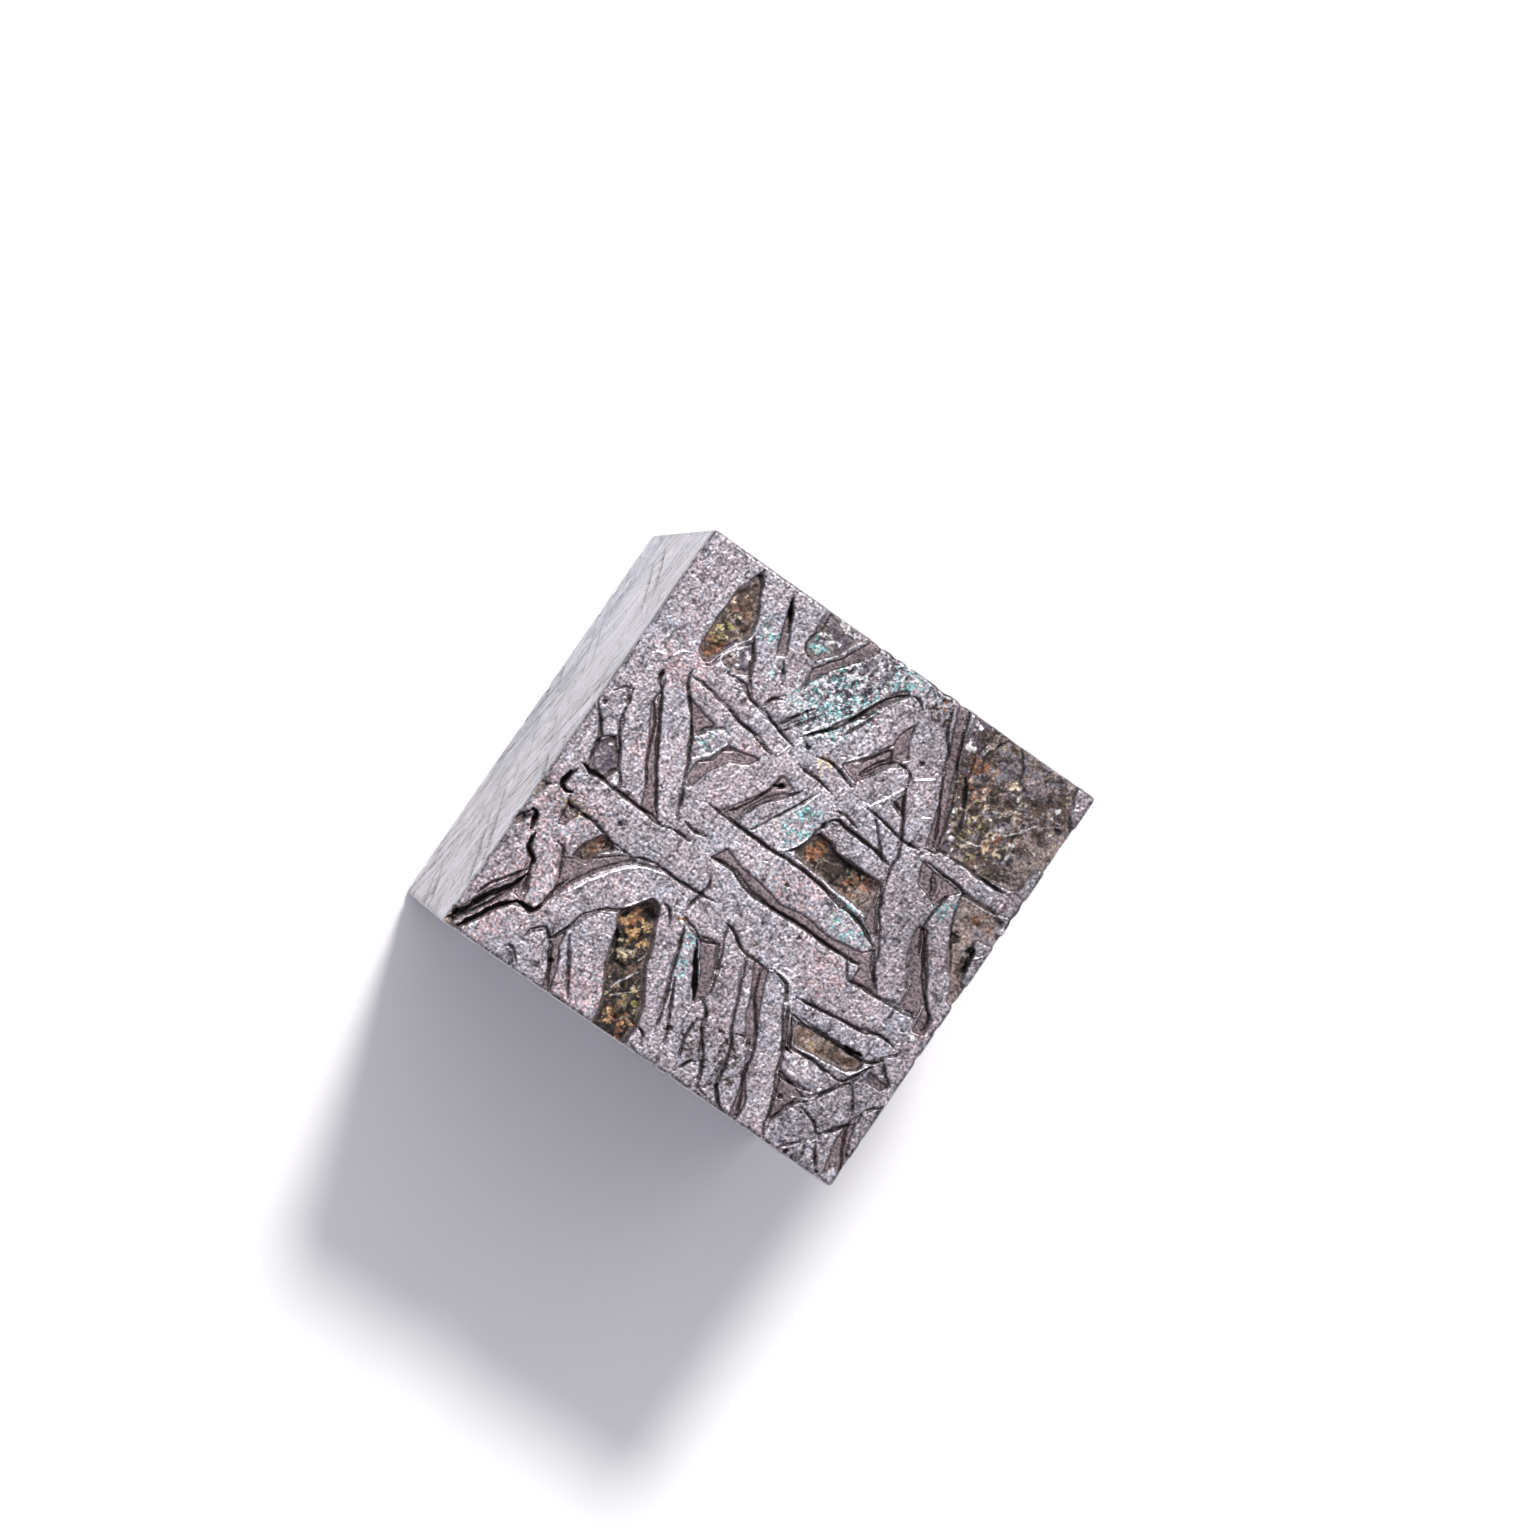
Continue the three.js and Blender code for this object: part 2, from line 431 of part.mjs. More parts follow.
function followedPlate({ family, at, width, radius }) {
  const centre = new THREE.Vector3(at[0] - SIDE / 2, at[1] - SIDE / 2, SIDE);
  return { normal: LEANING_PLATES[family], centre, thickness: width * Math.sin(PLATE_LEAN), radius };
}

function scatteredPlates() {
  const random = randomSource(SCATTER_SEED);
  const between = ([low, high]) => low + (high - low) * random();
  const plates = [];
  [...SIDES, BASE].forEach((face) => {
    const families = [LEVEL_PLATE, ...LEANING_PLATES];
    const steepFamilies = families.filter((normal) => cutSteepness(face, normal) > SHALLOWEST_CUT);
    for (let cell = 0; cell < SCATTER_COLUMNS * SCATTER_ROWS; cell += 1) {
      const u = ((cell % SCATTER_COLUMNS) + random()) / SCATTER_COLUMNS - 0.5;
      const v = (Math.floor(cell / SCATTER_COLUMNS) + random()) / SCATTER_ROWS - 0.5;
      const centre = face.middle.clone();
      centre.addScaledVector(face.uAxis, u * SIDE).addScaledVector(face.vAxis, v * SIDE);
      plates.push({
        order: random(),
        normal: steepFamilies[Math.floor(random() * steepFamilies.length)],
        centre,
        thickness: between(PLATE_THICKNESSES),
        radius: between(PLATE_RADII),
        isSoft: random() < SOFT_SHARE,
      });
    }
  });
  return plates.sort((one, other) => one.order - other.order);
}

function etchedCube() {
  const rounded = new RoundedBoxGeometry(SIDE, SIDE, SIDE, EDGE_STEPS, EDGE_RADIUS);
  const block = solidFrom(rounded.translate(0, 0, SIDE / 2));

  let body = block;
  [...scatteredPlates(), ...FOLLOWED_PLATES.map(followedPlate)].forEach((plate) => {
    [...SIDES, BASE].forEach((face) => {
      body = etchPlate(body, block, face, plate);
    });
  });

  STRIPS.forEach((outline) => {
    body = body.subtract(topCutter(outline, STRIP_DEPTH));
  });
  PITS.forEach((pit) => {
    body = body.subtract(pitCutter(pit));
  });
  SEAMS.forEach((line) => {
    body = body.subtract(topCutter(ribbonOutline(line, SEAM_WIDTH), SEAM_DEPTH));
  });
  CRACKS.forEach((line) => {
    body = body.subtract(topCutter(ribbonOutline(line, CRACK_WIDTH), CRACK_DEPTH));
  });
  return geometryFrom(body);
}

const etchedIron = new THREE.MeshStandardMaterial({
  color: 0xa39d9e,
  roughness: 0.45,
  metalness: 0.85,
  flatShading: true,
});

const cube = new THREE.Mesh(etchedCube(), etchedIron);
cube.name = 'meteorite_cube';

const meteoriteCube = new THREE.Group();
meteoriteCube.add(cube);

export default meteoriteCube;
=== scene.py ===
import math
from types import SimpleNamespace
import bpy
import numpy as np
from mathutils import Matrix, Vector
from mathutils.bvhtree import BVHTree


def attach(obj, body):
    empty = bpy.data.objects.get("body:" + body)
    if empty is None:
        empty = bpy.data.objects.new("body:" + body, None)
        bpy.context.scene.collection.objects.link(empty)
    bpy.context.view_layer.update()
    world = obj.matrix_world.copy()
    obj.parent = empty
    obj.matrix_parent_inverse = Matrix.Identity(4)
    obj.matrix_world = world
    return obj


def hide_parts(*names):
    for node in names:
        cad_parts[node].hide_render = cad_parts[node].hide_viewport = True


# A sawn and etched cube of iron meteorite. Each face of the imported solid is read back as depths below
# the flat face, given its small relief, and made again as a fine mesh. All lengths are in millimetres
# until a mesh, a light or the camera is made.

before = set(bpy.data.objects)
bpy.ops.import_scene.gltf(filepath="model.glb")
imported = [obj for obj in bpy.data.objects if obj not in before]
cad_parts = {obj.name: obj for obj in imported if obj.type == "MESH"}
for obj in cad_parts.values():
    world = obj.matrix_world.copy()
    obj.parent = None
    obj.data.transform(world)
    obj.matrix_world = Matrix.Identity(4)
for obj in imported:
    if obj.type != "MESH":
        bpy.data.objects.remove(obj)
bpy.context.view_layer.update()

NODE = "meteorite_cube"
MM = 0.001
SIDE = 20.0
EDGE_RADIUS = 0.22

# How far past an edge the relief of a face still bends the face beside it
EDGE_REACH = 1.6

# Mesh cells along one side of a face. The other faces have half as many, so that every second
# corner on a shared edge is in both meshes.
TOP_CELLS = 440
SIDE_CELLS = 220

# How the solid's relief is looked up and told apart: how far above a face and inside its rounded edge
# the rays start, the waves of the cut edges (their reach and length), and the depths and widths of each
# kind of ground
RAY_CLEARANCE = 1.0
RAY_INSET = 0.01
EDGE_WAVES = [(0.045, 0.8), (0.018, 0.22)]
SHALLOWEST_RECESS = 0.08
STRIP_DEPTH = 0.15
DEPTH_TOLERANCE = 0.02
DEEPEST_SIDE_CUT = 0.4
BRIDGE_DEPTH = 0.22
NARROWEST_PIT = 0.1
NARROWEST_BRIDGE = 0.07
GROUND_BLUR = 0.026

# Small relief: the depth of seams, of the pits' and strips' borders, of the plates near them and of the
# uneven ground in strips and pits, the rise of threads on that ground, and the depth of the outlines of
# the bars on the side faces
SEAM_CUT = 0.14
SHORE_CUT = 0.05
PLATE_DROOP = 0.035
STRIP_RELIEF = 0.010
CRUST_RELIEF = 0.08
THREAD_RISE = 0.06
BAR_LINE_DEPTH = 0.03

# How strong the etched texture is on the side faces, where the top face has 1
SIDE_TEXTURE = 0.2

# Half widths and depths of the lines that are drawn on a face
OUTLINE_HALF = 0.05
CRACK_HALF = 0.065
GASH_HALF = 0.11
LINE_DEPTH = 0.13
RIM_HALF = 0.045
RIM_HEIGHT = 0.035

# The ground's level, kept beside its colour: 0 on the smooth side faces, then etched iron, then crust at 1
IRON_LEVEL = 0.5

# Layers of noise: how much finer and weaker each is than the one before
LAYER_FINER = 2.1
LAYER_WEAKER = 1.8

# Random values are given to plates from a table, at a stride that parts neighbours
PLATE_TABLE = 997
PLATE_STRIDE = 7919
PLATE_BORDER_STEPS = 8

# Brush strokes on the plates: up to which share of the plates has them, direction, length, width and seed
GRAIN_STROKES = [(0.5, 0, 0.45, 0.085, 12), (1.0, 90, 0.4, 0.085, 13)]
HATCH_STROKES = [(0.55, 2, 2.2, 0.11, 16), (0.8, 60, 2.0, 0.12, 17), (1.0, -62, 2.0, 0.12, 18)]

# Fine crooked lines: cell, thinness, then the gaps' cell, start and end, and the seed
CROOKED_LINES = {
    "creases": (0.26, 0.72, 0.35, -0.5, 0.3, 28),
    "strokes": (0.42, 0.88, 0.55, 0.05, 0.45, 30),
    "glints": (0.40, 0.88, 0.50, 0.1, 0.45, 32),
    "threads": (0.36, 0.86, 0.60, -0.1, 0.3, 25),
}

# What each pattern does to an iron plate: how deep it cuts and how much it lightens
PLATE_LOOK = {
    "grain": (0.007, 0.34),
    "hatch": (0.004, 0.16),
    "mottle": (0.0, 0.10),
    "creases": (0.014, -0.50),
    "strokes": (0.010, -0.40),
    "glints": (-0.010, 0.55),
    "flecks": (-0.004, 0.30),
}

# Lowest and highest brightness of whole plates and of the bars on the side faces
PLATE_TONES = (0.88, 1.10)
BAR_TONES = (0.80, 1.10)

# Colours, linear
PLATE = (0.445, 0.406, 0.43)
# The side faces' iron and strips are paler than the top's: their colour with a painted reflection of the pale
# floor
SIDE_PLATE_AND_REFLECTION = (0.60, 0.585, 0.625)
SIDE_STRIP_AND_REFLECTION = (0.42, 0.39, 0.41)
STRIP = (0.25, 0.20, 0.21)
# Dark line along the borders of strips and pits, partly painted shade where the ground steps down into them
SHORE_LINE_AND_SHADE = (0.075, 0.055, 0.055)
SEAM = (0.040, 0.028, 0.028)
BRIGHT = (0.93, 0.91, 0.94)
BLACK = (0.018, 0.013, 0.012)
UMBER = (0.075, 0.050, 0.042)
BROWN = (0.155, 0.095, 0.070)
TAUPE = (0.26, 0.205, 0.195)
RUST = (0.27, 0.125, 0.070)
GOLD = (0.50, 0.31, 0.15)
CREAM = (0.74, 0.62, 0.44)
OLIVE = (0.33, 0.30, 0.12)
GREY = (0.20, 0.175, 0.20)
VIOLET = (0.085, 0.07, 0.09)
STEEL = (0.34, 0.36, 0.43)
PINK = (0.56, 0.42, 0.44)
TEAL = (0.27, 0.50, 0.50)
BLUE = (0.36, 0.44, 0.56)
DARKEST = 0.008

# Tints of the iron: which side of the noise has them, the colour, and how much of it is broad and fine
TINTS = [(1, PINK, 0.24, 0.3), (-1, BLUE, 0.15, 0.25)]

# What colours the rough pits of the top face: place, radius, colour and the share of the ground it covers
PIT_PAINTS = [
    ([(3.0, 19.4), (3.2, 17.6), (2.8, 15.6)], 0.9, UMBER, 0.85), ([(3.0, 17.6)], 1.0, CREAM, 0.16),
    ([(3.3, 17.9)], 0.9, BROWN, 0.4), ([(2.7, 16.7)], 0.5, OLIVE, 0.55), ([(2.8, 15.9)], 0.6, RUST, 0.6),
    ([(4.3, 16.3)], 0.9, VIOLET, 1.0), ([(4.3, 16.3)], 0.9, GREY, 0.4), ([(4.3, 16.3)], 0.8, BRIGHT, 0.13),
    ([(7.0, 19.2), (6.8, 18.2)], 1.4, VIOLET, 1.0), ([(6.6, 19.3)], 1.4, GREY, 0.4),
    ([(7.2, 18.6)], 1.2, TAUPE, 0.2), ([(7.1, 19.0)], 1.5, BRIGHT, 0.1), ([(6.4, 18.4)], 0.5, TEAL, 0.15),
    ([(14.1, 19.9), (14.5, 18.2), (15.2, 16.5), (15.8, 14.5)], 0.6, VIOLET, 1.0),
    ([(14.1, 19.9), (14.5, 18.2), (15.2, 16.5), (15.8, 14.5)], 0.5, BRIGHT, 0.18),
    ([(17.2, 17.2)], 3.4, UMBER, 0.45), ([(16.6, 17.0)], 2.4, BROWN, 0.25), ([(17.8, 17.8)], 2.8, GREY, 0.45),
    ([(15.3, 19.6), (15.8, 18.0), (16.3, 16.2)], 0.9, UMBER, 0.55), ([(15.4, 17.9)], 0.8, RUST, 0.28),
    ([(16.8, 15.7)], 0.9, OLIVE, 0.32), ([(16.2, 16.0), (18.4, 15.3)], 0.6, UMBER, 0.6),
    ([(17.5, 15.8)], 0.5, RUST, 0.3), ([(17.8, 17.2)], 2.6, BLACK, 0.16),
    ([(18.0, 17.0)], 2.2, BRIGHT, 0.035), ([(17.0, 17.0)], 2.4, CREAM, 0.06),
    ([(18.8, 18.8)], 0.7, UMBER, 0.75),
    ([(17.2, 18.0), (18.6, 17.6)], 0.5, UMBER, 0.5), ([(19.2, 15.6)], 0.8, TAUPE, 0.9),
    ([(19.5, 17.2)], 0.9, TAUPE, 0.7), ([(16.2, 19.4), (17.6, 19.0)], 0.9, GREY, 0.4),
    ([(18.8, 12.8), (19.2, 10.2)], 1.2, TAUPE, 0.95), ([(19.1, 12.9)], 0.7, RUST, 0.18),
    ([(18.3, 11.7)], 0.3, BLACK, 0.8), ([(19.3, 11.7), (19.5, 10.6)], 0.3, BLACK, 0.8),
    ([(19.2, 12.3), (19.8, 12.2)], 0.3, GREY, 0.7), ([(19.7, 10.7)], 0.6, UMBER, 0.5),
    ([(11.4, 11.4), (13.4, 11.1)], 1.1, UMBER, 0.9), ([(11.3, 11.4)], 0.5, RUST, 0.7),
    ([(13.6, 11.2)], 0.6, RUST, 0.45), ([(12.6, 11.2)], 1.0, BLACK, 0.4), ([(13.5, 11.4)], 0.4, CREAM, 0.1),
    ([(14.4, 10.9)], 0.6, TAUPE, 0.7),
    ([(1.8, 9.7)], 1.2, VIOLET, 1.0), ([(1.8, 9.7)], 1.1, GREY, 0.45), ([(1.6, 9.8)], 0.7, BRIGHT, 0.06),
    ([(3.4, 6.4)], 0.9, BROWN, 1.0), ([(3.5, 6.6)], 0.6, RUST, 0.6), ([(4.0, 6.55)], 0.4, BLACK, 0.8),
    ([(3.3, 5.5)], 0.5, BLACK, 0.75), ([(3.0, 5.2)], 0.3, OLIVE, 0.5), ([(4.6, 6.4)], 0.5, TAUPE, 0.9),
    ([(6.5, 4.2), (7.4, 2.9), (8.4, 0.6)], 1.6, BLACK, 1.0), ([(7.0, 5.3)], 0.6, UMBER, 0.9),
    ([(6.4, 4.5), (7.4, 4.1)], 0.5, GOLD, 0.55), ([(6.6, 4.8)], 0.4, RUST, 0.5),
    ([(7.2, 3.2), (8.0, 2.0)], 0.8, CREAM, 0.1), ([(7.5, 3.0), (8.3, 1.4)], 0.8, BROWN, 0.2),
    ([(8.3, 1.6)], 0.6, OLIVE, 0.12), ([(8.4, 0.9)], 0.6, GOLD, 0.14), ([(8.7, 0.6)], 0.5, RUST, 0.4),
    ([(15.6, 4.6), (17.4, 4.8)], 0.8, BROWN, 0.9), ([(16.0, 4.6)], 0.8, GOLD, 0.08),
    ([(16.6, 4.7)], 1.0, TAUPE, 0.45), ([(16.9, 4.7)], 0.6, UMBER, 0.3),
]

# Stains on the iron plates of the top face, given in the same way
STAINS = [
    ([(8.4, 17.5), (8.2, 16.4)], 1.1, VIOLET, 0.4), ([(9.5, 18.9), (8.8, 17.6)], 1.1, VIOLET, 0.4),
    ([(8.4, 17.4), (7.8, 16.4)], 1.1, TEAL, 0.27), ([(8.8, 15.9), (9.6, 17.6)], 0.8, TEAL, 0.16),
    ([(9.3, 18.4), (8.0, 16.2)], 1.3, BRIGHT, 0.2), ([(7.3, 15.6)], 0.7, BRIGHT, 0.15),
    ([(10.2, 19.6)], 0.9, TEAL, 0.26), ([(10.3, 19.6)], 0.8, BRIGHT, 0.14), ([(9.0, 19.5)], 0.9, GREY, 0.35),
    ([(4.5, 17.6)], 0.5, TEAL, 0.26), ([(5.5, 16.2)], 0.5, TEAL, 0.14), ([(4.9, 12.5)], 0.4, TEAL, 0.2),
    ([(10.0, 12.1), (10.2, 11.3)], 0.6, TEAL, 0.34), ([(8.2, 10.7)], 0.4, TEAL, 0.2),
    ([(10.6, 12.7)], 0.4, TEAL, 0.2), ([(17.4, 12.4)], 0.5, TEAL, 0.25),
    ([(9.3, 5.0), (9.7, 4.0)], 0.6, TEAL, 0.22), ([(13.8, 9.8), (14.6, 9.5)], 0.7, TEAL, 0.18),
    ([(12.2, 19.2)], 0.8, UMBER, 0.25), ([(12.5, 19.6)], 0.3, RUST, 0.3),
    ([(1.6, 7.0), (2.1, 7.0)], 0.35, OLIVE, 0.5), ([(1.7, 6.6)], 0.3, UMBER, 0.4),
    ([(5.4, 5.4)], 0.4, PINK, 0.4), ([(11.4, 6.3)], 0.4, RUST, 0.2), ([(8.3, 5.7)], 0.2, RUST, 0.45),
    ([(6.5, 13.2)], 0.6, PINK, 0.5), ([(9.6, 14.5)], 0.4, CREAM, 0.3), ([(2.2, 14.6)], 1.2, PINK, 0.4),
    ([(6.6, 1.0)], 1.2, PINK, 0.4), ([(1.0, 1.2), (2.4, 3.4), (1.4, 6.6)], 1.4, PINK, 0.35),
    ([(2.8, 10.7)], 0.6, PINK, 0.4), ([(14.5, 7.2)], 1.0, PINK, 0.35),
    ([(11.6, 9.4)], 1.2, PINK, 0.4), ([(3.9, 7.65)], 0.25, GREY, 0.8), ([(2.9, 7.6)], 0.5, PINK, 0.3),
    ([(19.0, 2.0), (19.5, 3.5)], 0.6, GREY, 0.2), ([(17.6, 1.2)], 1.4, GREY, 0.25),
    ([(12.0, 2.2), (13.2, 1.6)], 1.1, UMBER, 0.16), ([(18.3, 4.8)], 0.9, GREY, 0.2),
]

# Parts of the top face that are lighter or darker than the rest: place, radius and factor
TONES = [
    ((16.2, 11.2), 2.3, 0.80), ((17.6, 9.4), 2.0, 0.79), ((12.5, 2.0), 2.0, 0.88), ((17.2, 1.6), 1.8, 0.84),
    ((6.0, 1.6), 1.4, 1.06), ((10.0, 16.2), 1.6, 1.12), ((13.0, 9.4), 1.3, 1.10), ((1.4, 17.0), 1.6, 1.04),
    ((9.0, 18.8), 1.8, 0.84), ((19.6, 1.5), 1.6, 0.88), ((3.4, 11.2), 2.4, 1.25), ((9.0, 11.4), 2.6, 1.25),
    ((15.2, 8.6), 1.8, 1.25), ((11.0, 7.6), 2.4, 1.08), ((3.2, 3.6), 1.8, 1.22), ((9.2, 3.2), 1.5, 1.20),
    ((13.4, 18.6), 2.4, 0.74), ((19.2, 16.0), 3.2, 0.68), ((19.2, 12.4), 2.8, 0.75), ((18.6, 4.6), 2.4, 0.74),
    ((16.6, 19.6), 2.8, 0.76), ((16.8, 15.6), 1.8, 0.86), ((7.2, 3.0), 1.2, 0.64), ((11.4, 4.8), 1.4, 0.80),
    ((7.0, 19.4), 1.4, 0.84), ((1.4, 1.6), 1.6, 1.06), ((5.2, 16.0), 2.0, 1.08), ((9.0, 13.4), 2.0, 1.08),
    ((16.4, 4.6), 1.2, 0.85), ((13.3, 11.2), 1.0, 0.86), ((8.2, 1.6), 1.3, 0.80),
    ((7.0, 17.2), 1.3, 0.85), ((11.0, 17.2), 1.2, 1.15),
]

# Stains, how strong they are, and long dark lines of the left side face, in millimetres up and along it
SIDE_STAINS = [
    ([(3.0, 1.0), (5.0, 6.0)], 4.0, GREY, 0.26), ([(9.0, 0.5), (10.5, 5.0)], 3.0, GREY, 0.22),
    ([(2.5, 9.0), (4.0, 14.5)], 2.5, STEEL, 0.45), ([(1.0, 15.0), (4.0, 19.0)], 2.5, STEEL, 0.30),
    ([(15.0, 0.6), (17.0, 2.4)], 1.6, GREY, 0.25), ([(13.0, 9.6), (16.0, 11.4)], 1.3, GREY, 0.25),
]
SIDE_STAIN_COVER = 0.6
SIDE_LINES = [
    [(18.6, 0.4), (18.2, 2.2), (18.9, 4.2), (18.4, 6.4)],
    [(17.4, 0.3), (16.8, 2.6), (17.6, 5.0), (16.9, 7.4), (17.4, 8.6)],
    [(15.6, 0.8), (15.2, 3.0), (15.9, 5.2)],
    [(13.8, 0.4), (13.0, 2.8), (13.6, 4.2)],
    [(19.3, 6.0), (18.8, 7.6), (19.4, 9.4)],
    [(16.0, 8.8), (15.4, 10.6), (16.2, 12.2)],
    [(13.2, 10.0), (12.4, 11.6)],
    [(17.8, 11.4), (17.2, 12.8)],
    [(9.6, 3.4), (9.0, 5.6), (9.8, 7.4)],
    [(6.4, 1.2), (5.6, 3.8)],
]

# Raised rims on the top face beside the seams, each with a painted highlight along it where it catches the
# light
HIGHLIT_RIMS = [
    [(10.9, 12.3), (10.85, 12), (10.7, 11.5), (10.5, 11), (10.2, 10.6), (9.9, 10.45)],
    [(10.1, 15.05), (10.7, 15.7), (11.2, 16.3), (11.5, 16.8)],
    [(13, 15.8), (12.6, 15), (12.2, 14.3), (12, 14.1)],
    [(10.9, 19.1), (10, 18.2), (9.4, 17), (8.7, 16), (8, 15)],
    [(7.9, 14.4), (7.75, 14), (7.6, 13.6)],
    [(5.6, 12.9), (5.4, 12.3), (5, 11.8), (4.7, 11.45)],
    [(17.6, 13.3), (18.3, 13.35), (19, 13.4), (19.9, 13.65)],
    [(10.5, 10.5), (12, 10.5), (13, 10.35), (14.6, 10.2)],
    [(5.9, 4.7), (6.2, 5.1), (6.65, 5.75)],
    [(0.8, 14.1), (1, 14.4), (1.5, 14.45)],
    [(1.6, 14.6), (1.9, 15), (2.2, 15.15)],
    [(0.4, 11.8), (0.5, 12.1), (0.75, 12.3)],
    [(3.95, 17.1), (3.1, 15.6)],
    [(4.1, 16.85), (3.4, 16), (3.3, 15.6)],
    [(2.35, 18.55), (2.75, 19.4)],
    [(15.2, 4.05), (17.5, 4.3), (17.9, 4.4), (18.4, 5.1)],
    [(16.4, 2.2), (17.1, 2.6)],
    [(13, 16.1), (13.8, 16.7)],
    [(14.2, 15), (14.6, 15.25)],
    [(10.05, 13.3), (9.6, 12.3), (9, 11.2), (8.5, 10.35)],
    [(17.6, 16.4), (18, 16.8), (18.6, 17.6)],
    [(16.2, 15.25), (16.7, 15.35), (17.1, 15.5)],
    [(14.95, 18.6), (15.0, 19.2)],
    [(19.45, 11.3), (19.85, 11.8)],
    [(8.1, 2.9), (7.7, 2.3), (7.5, 1.7)],
    [(8.3, 2), (7.7, 1.5)],
    [(7.9, 3.6), (7.8, 3.2)],
    [(3.6, 3.9), (4.4, 5.3), (5.5, 6.5), (6.8, 6.9)],
    [(12.4, 6.25), (13.6, 6.15), (14.2, 5.35), (15.0, 4.1)],
]

# Small raised knobs of the top face with a painted highlight on each, and small dark holes: place and radius
GLINTING_KNOBS = [
    (19, 18.6, 0.1), (19.8, 13, 0.14), (19.25, 7.1, 0.12), (2.55, 8.8, 0.18), (1.1, 13.6, 0.1),
    (14, 5.35, 0.1), (16.1, 3.65, 0.1), (15.7, 3.45, 0.1), (17.2, 3.1, 0.1), (10.8, 4.75, 0.1),
    (12.3, 4.8, 0.1), (19.4, 3.4, 0.1), (19.9, 4.3, 0.1), (18.5, 1.7, 0.1), (18.1, 1.1, 0.1),
    (8.3, 5.65, 0.1),
]
HOLES = [
    (10.95, 12.4, 0.12), (8.55, 12.75, 0.12), (0.35, 11.4, 0.1), (1.65, 13.7, 0.1), (12.95, 16.95, 0.09),
    (12.8, 7.9, 0.08), (17.3, 5.25, 0.12), (17.75, 5.35, 0.1), (17.5, 0.2, 0.1), (18.3, 11.7, 0.14),
    (19.3, 11.6, 0.16), (19.45, 10.8, 0.14), (10.4, 1.7, 0.12), (4.7, 1.2, 0.1), (3.8, 7.6, 0.08),
    (11.1, 9.45, 0.08), (8.5, 14.7, 0.1), (7.1, 5.1, 0.26), (3.1, 17.35, 0.14), (16, 2, 0.1),
    (19.5, 17.9, 0.14),
]

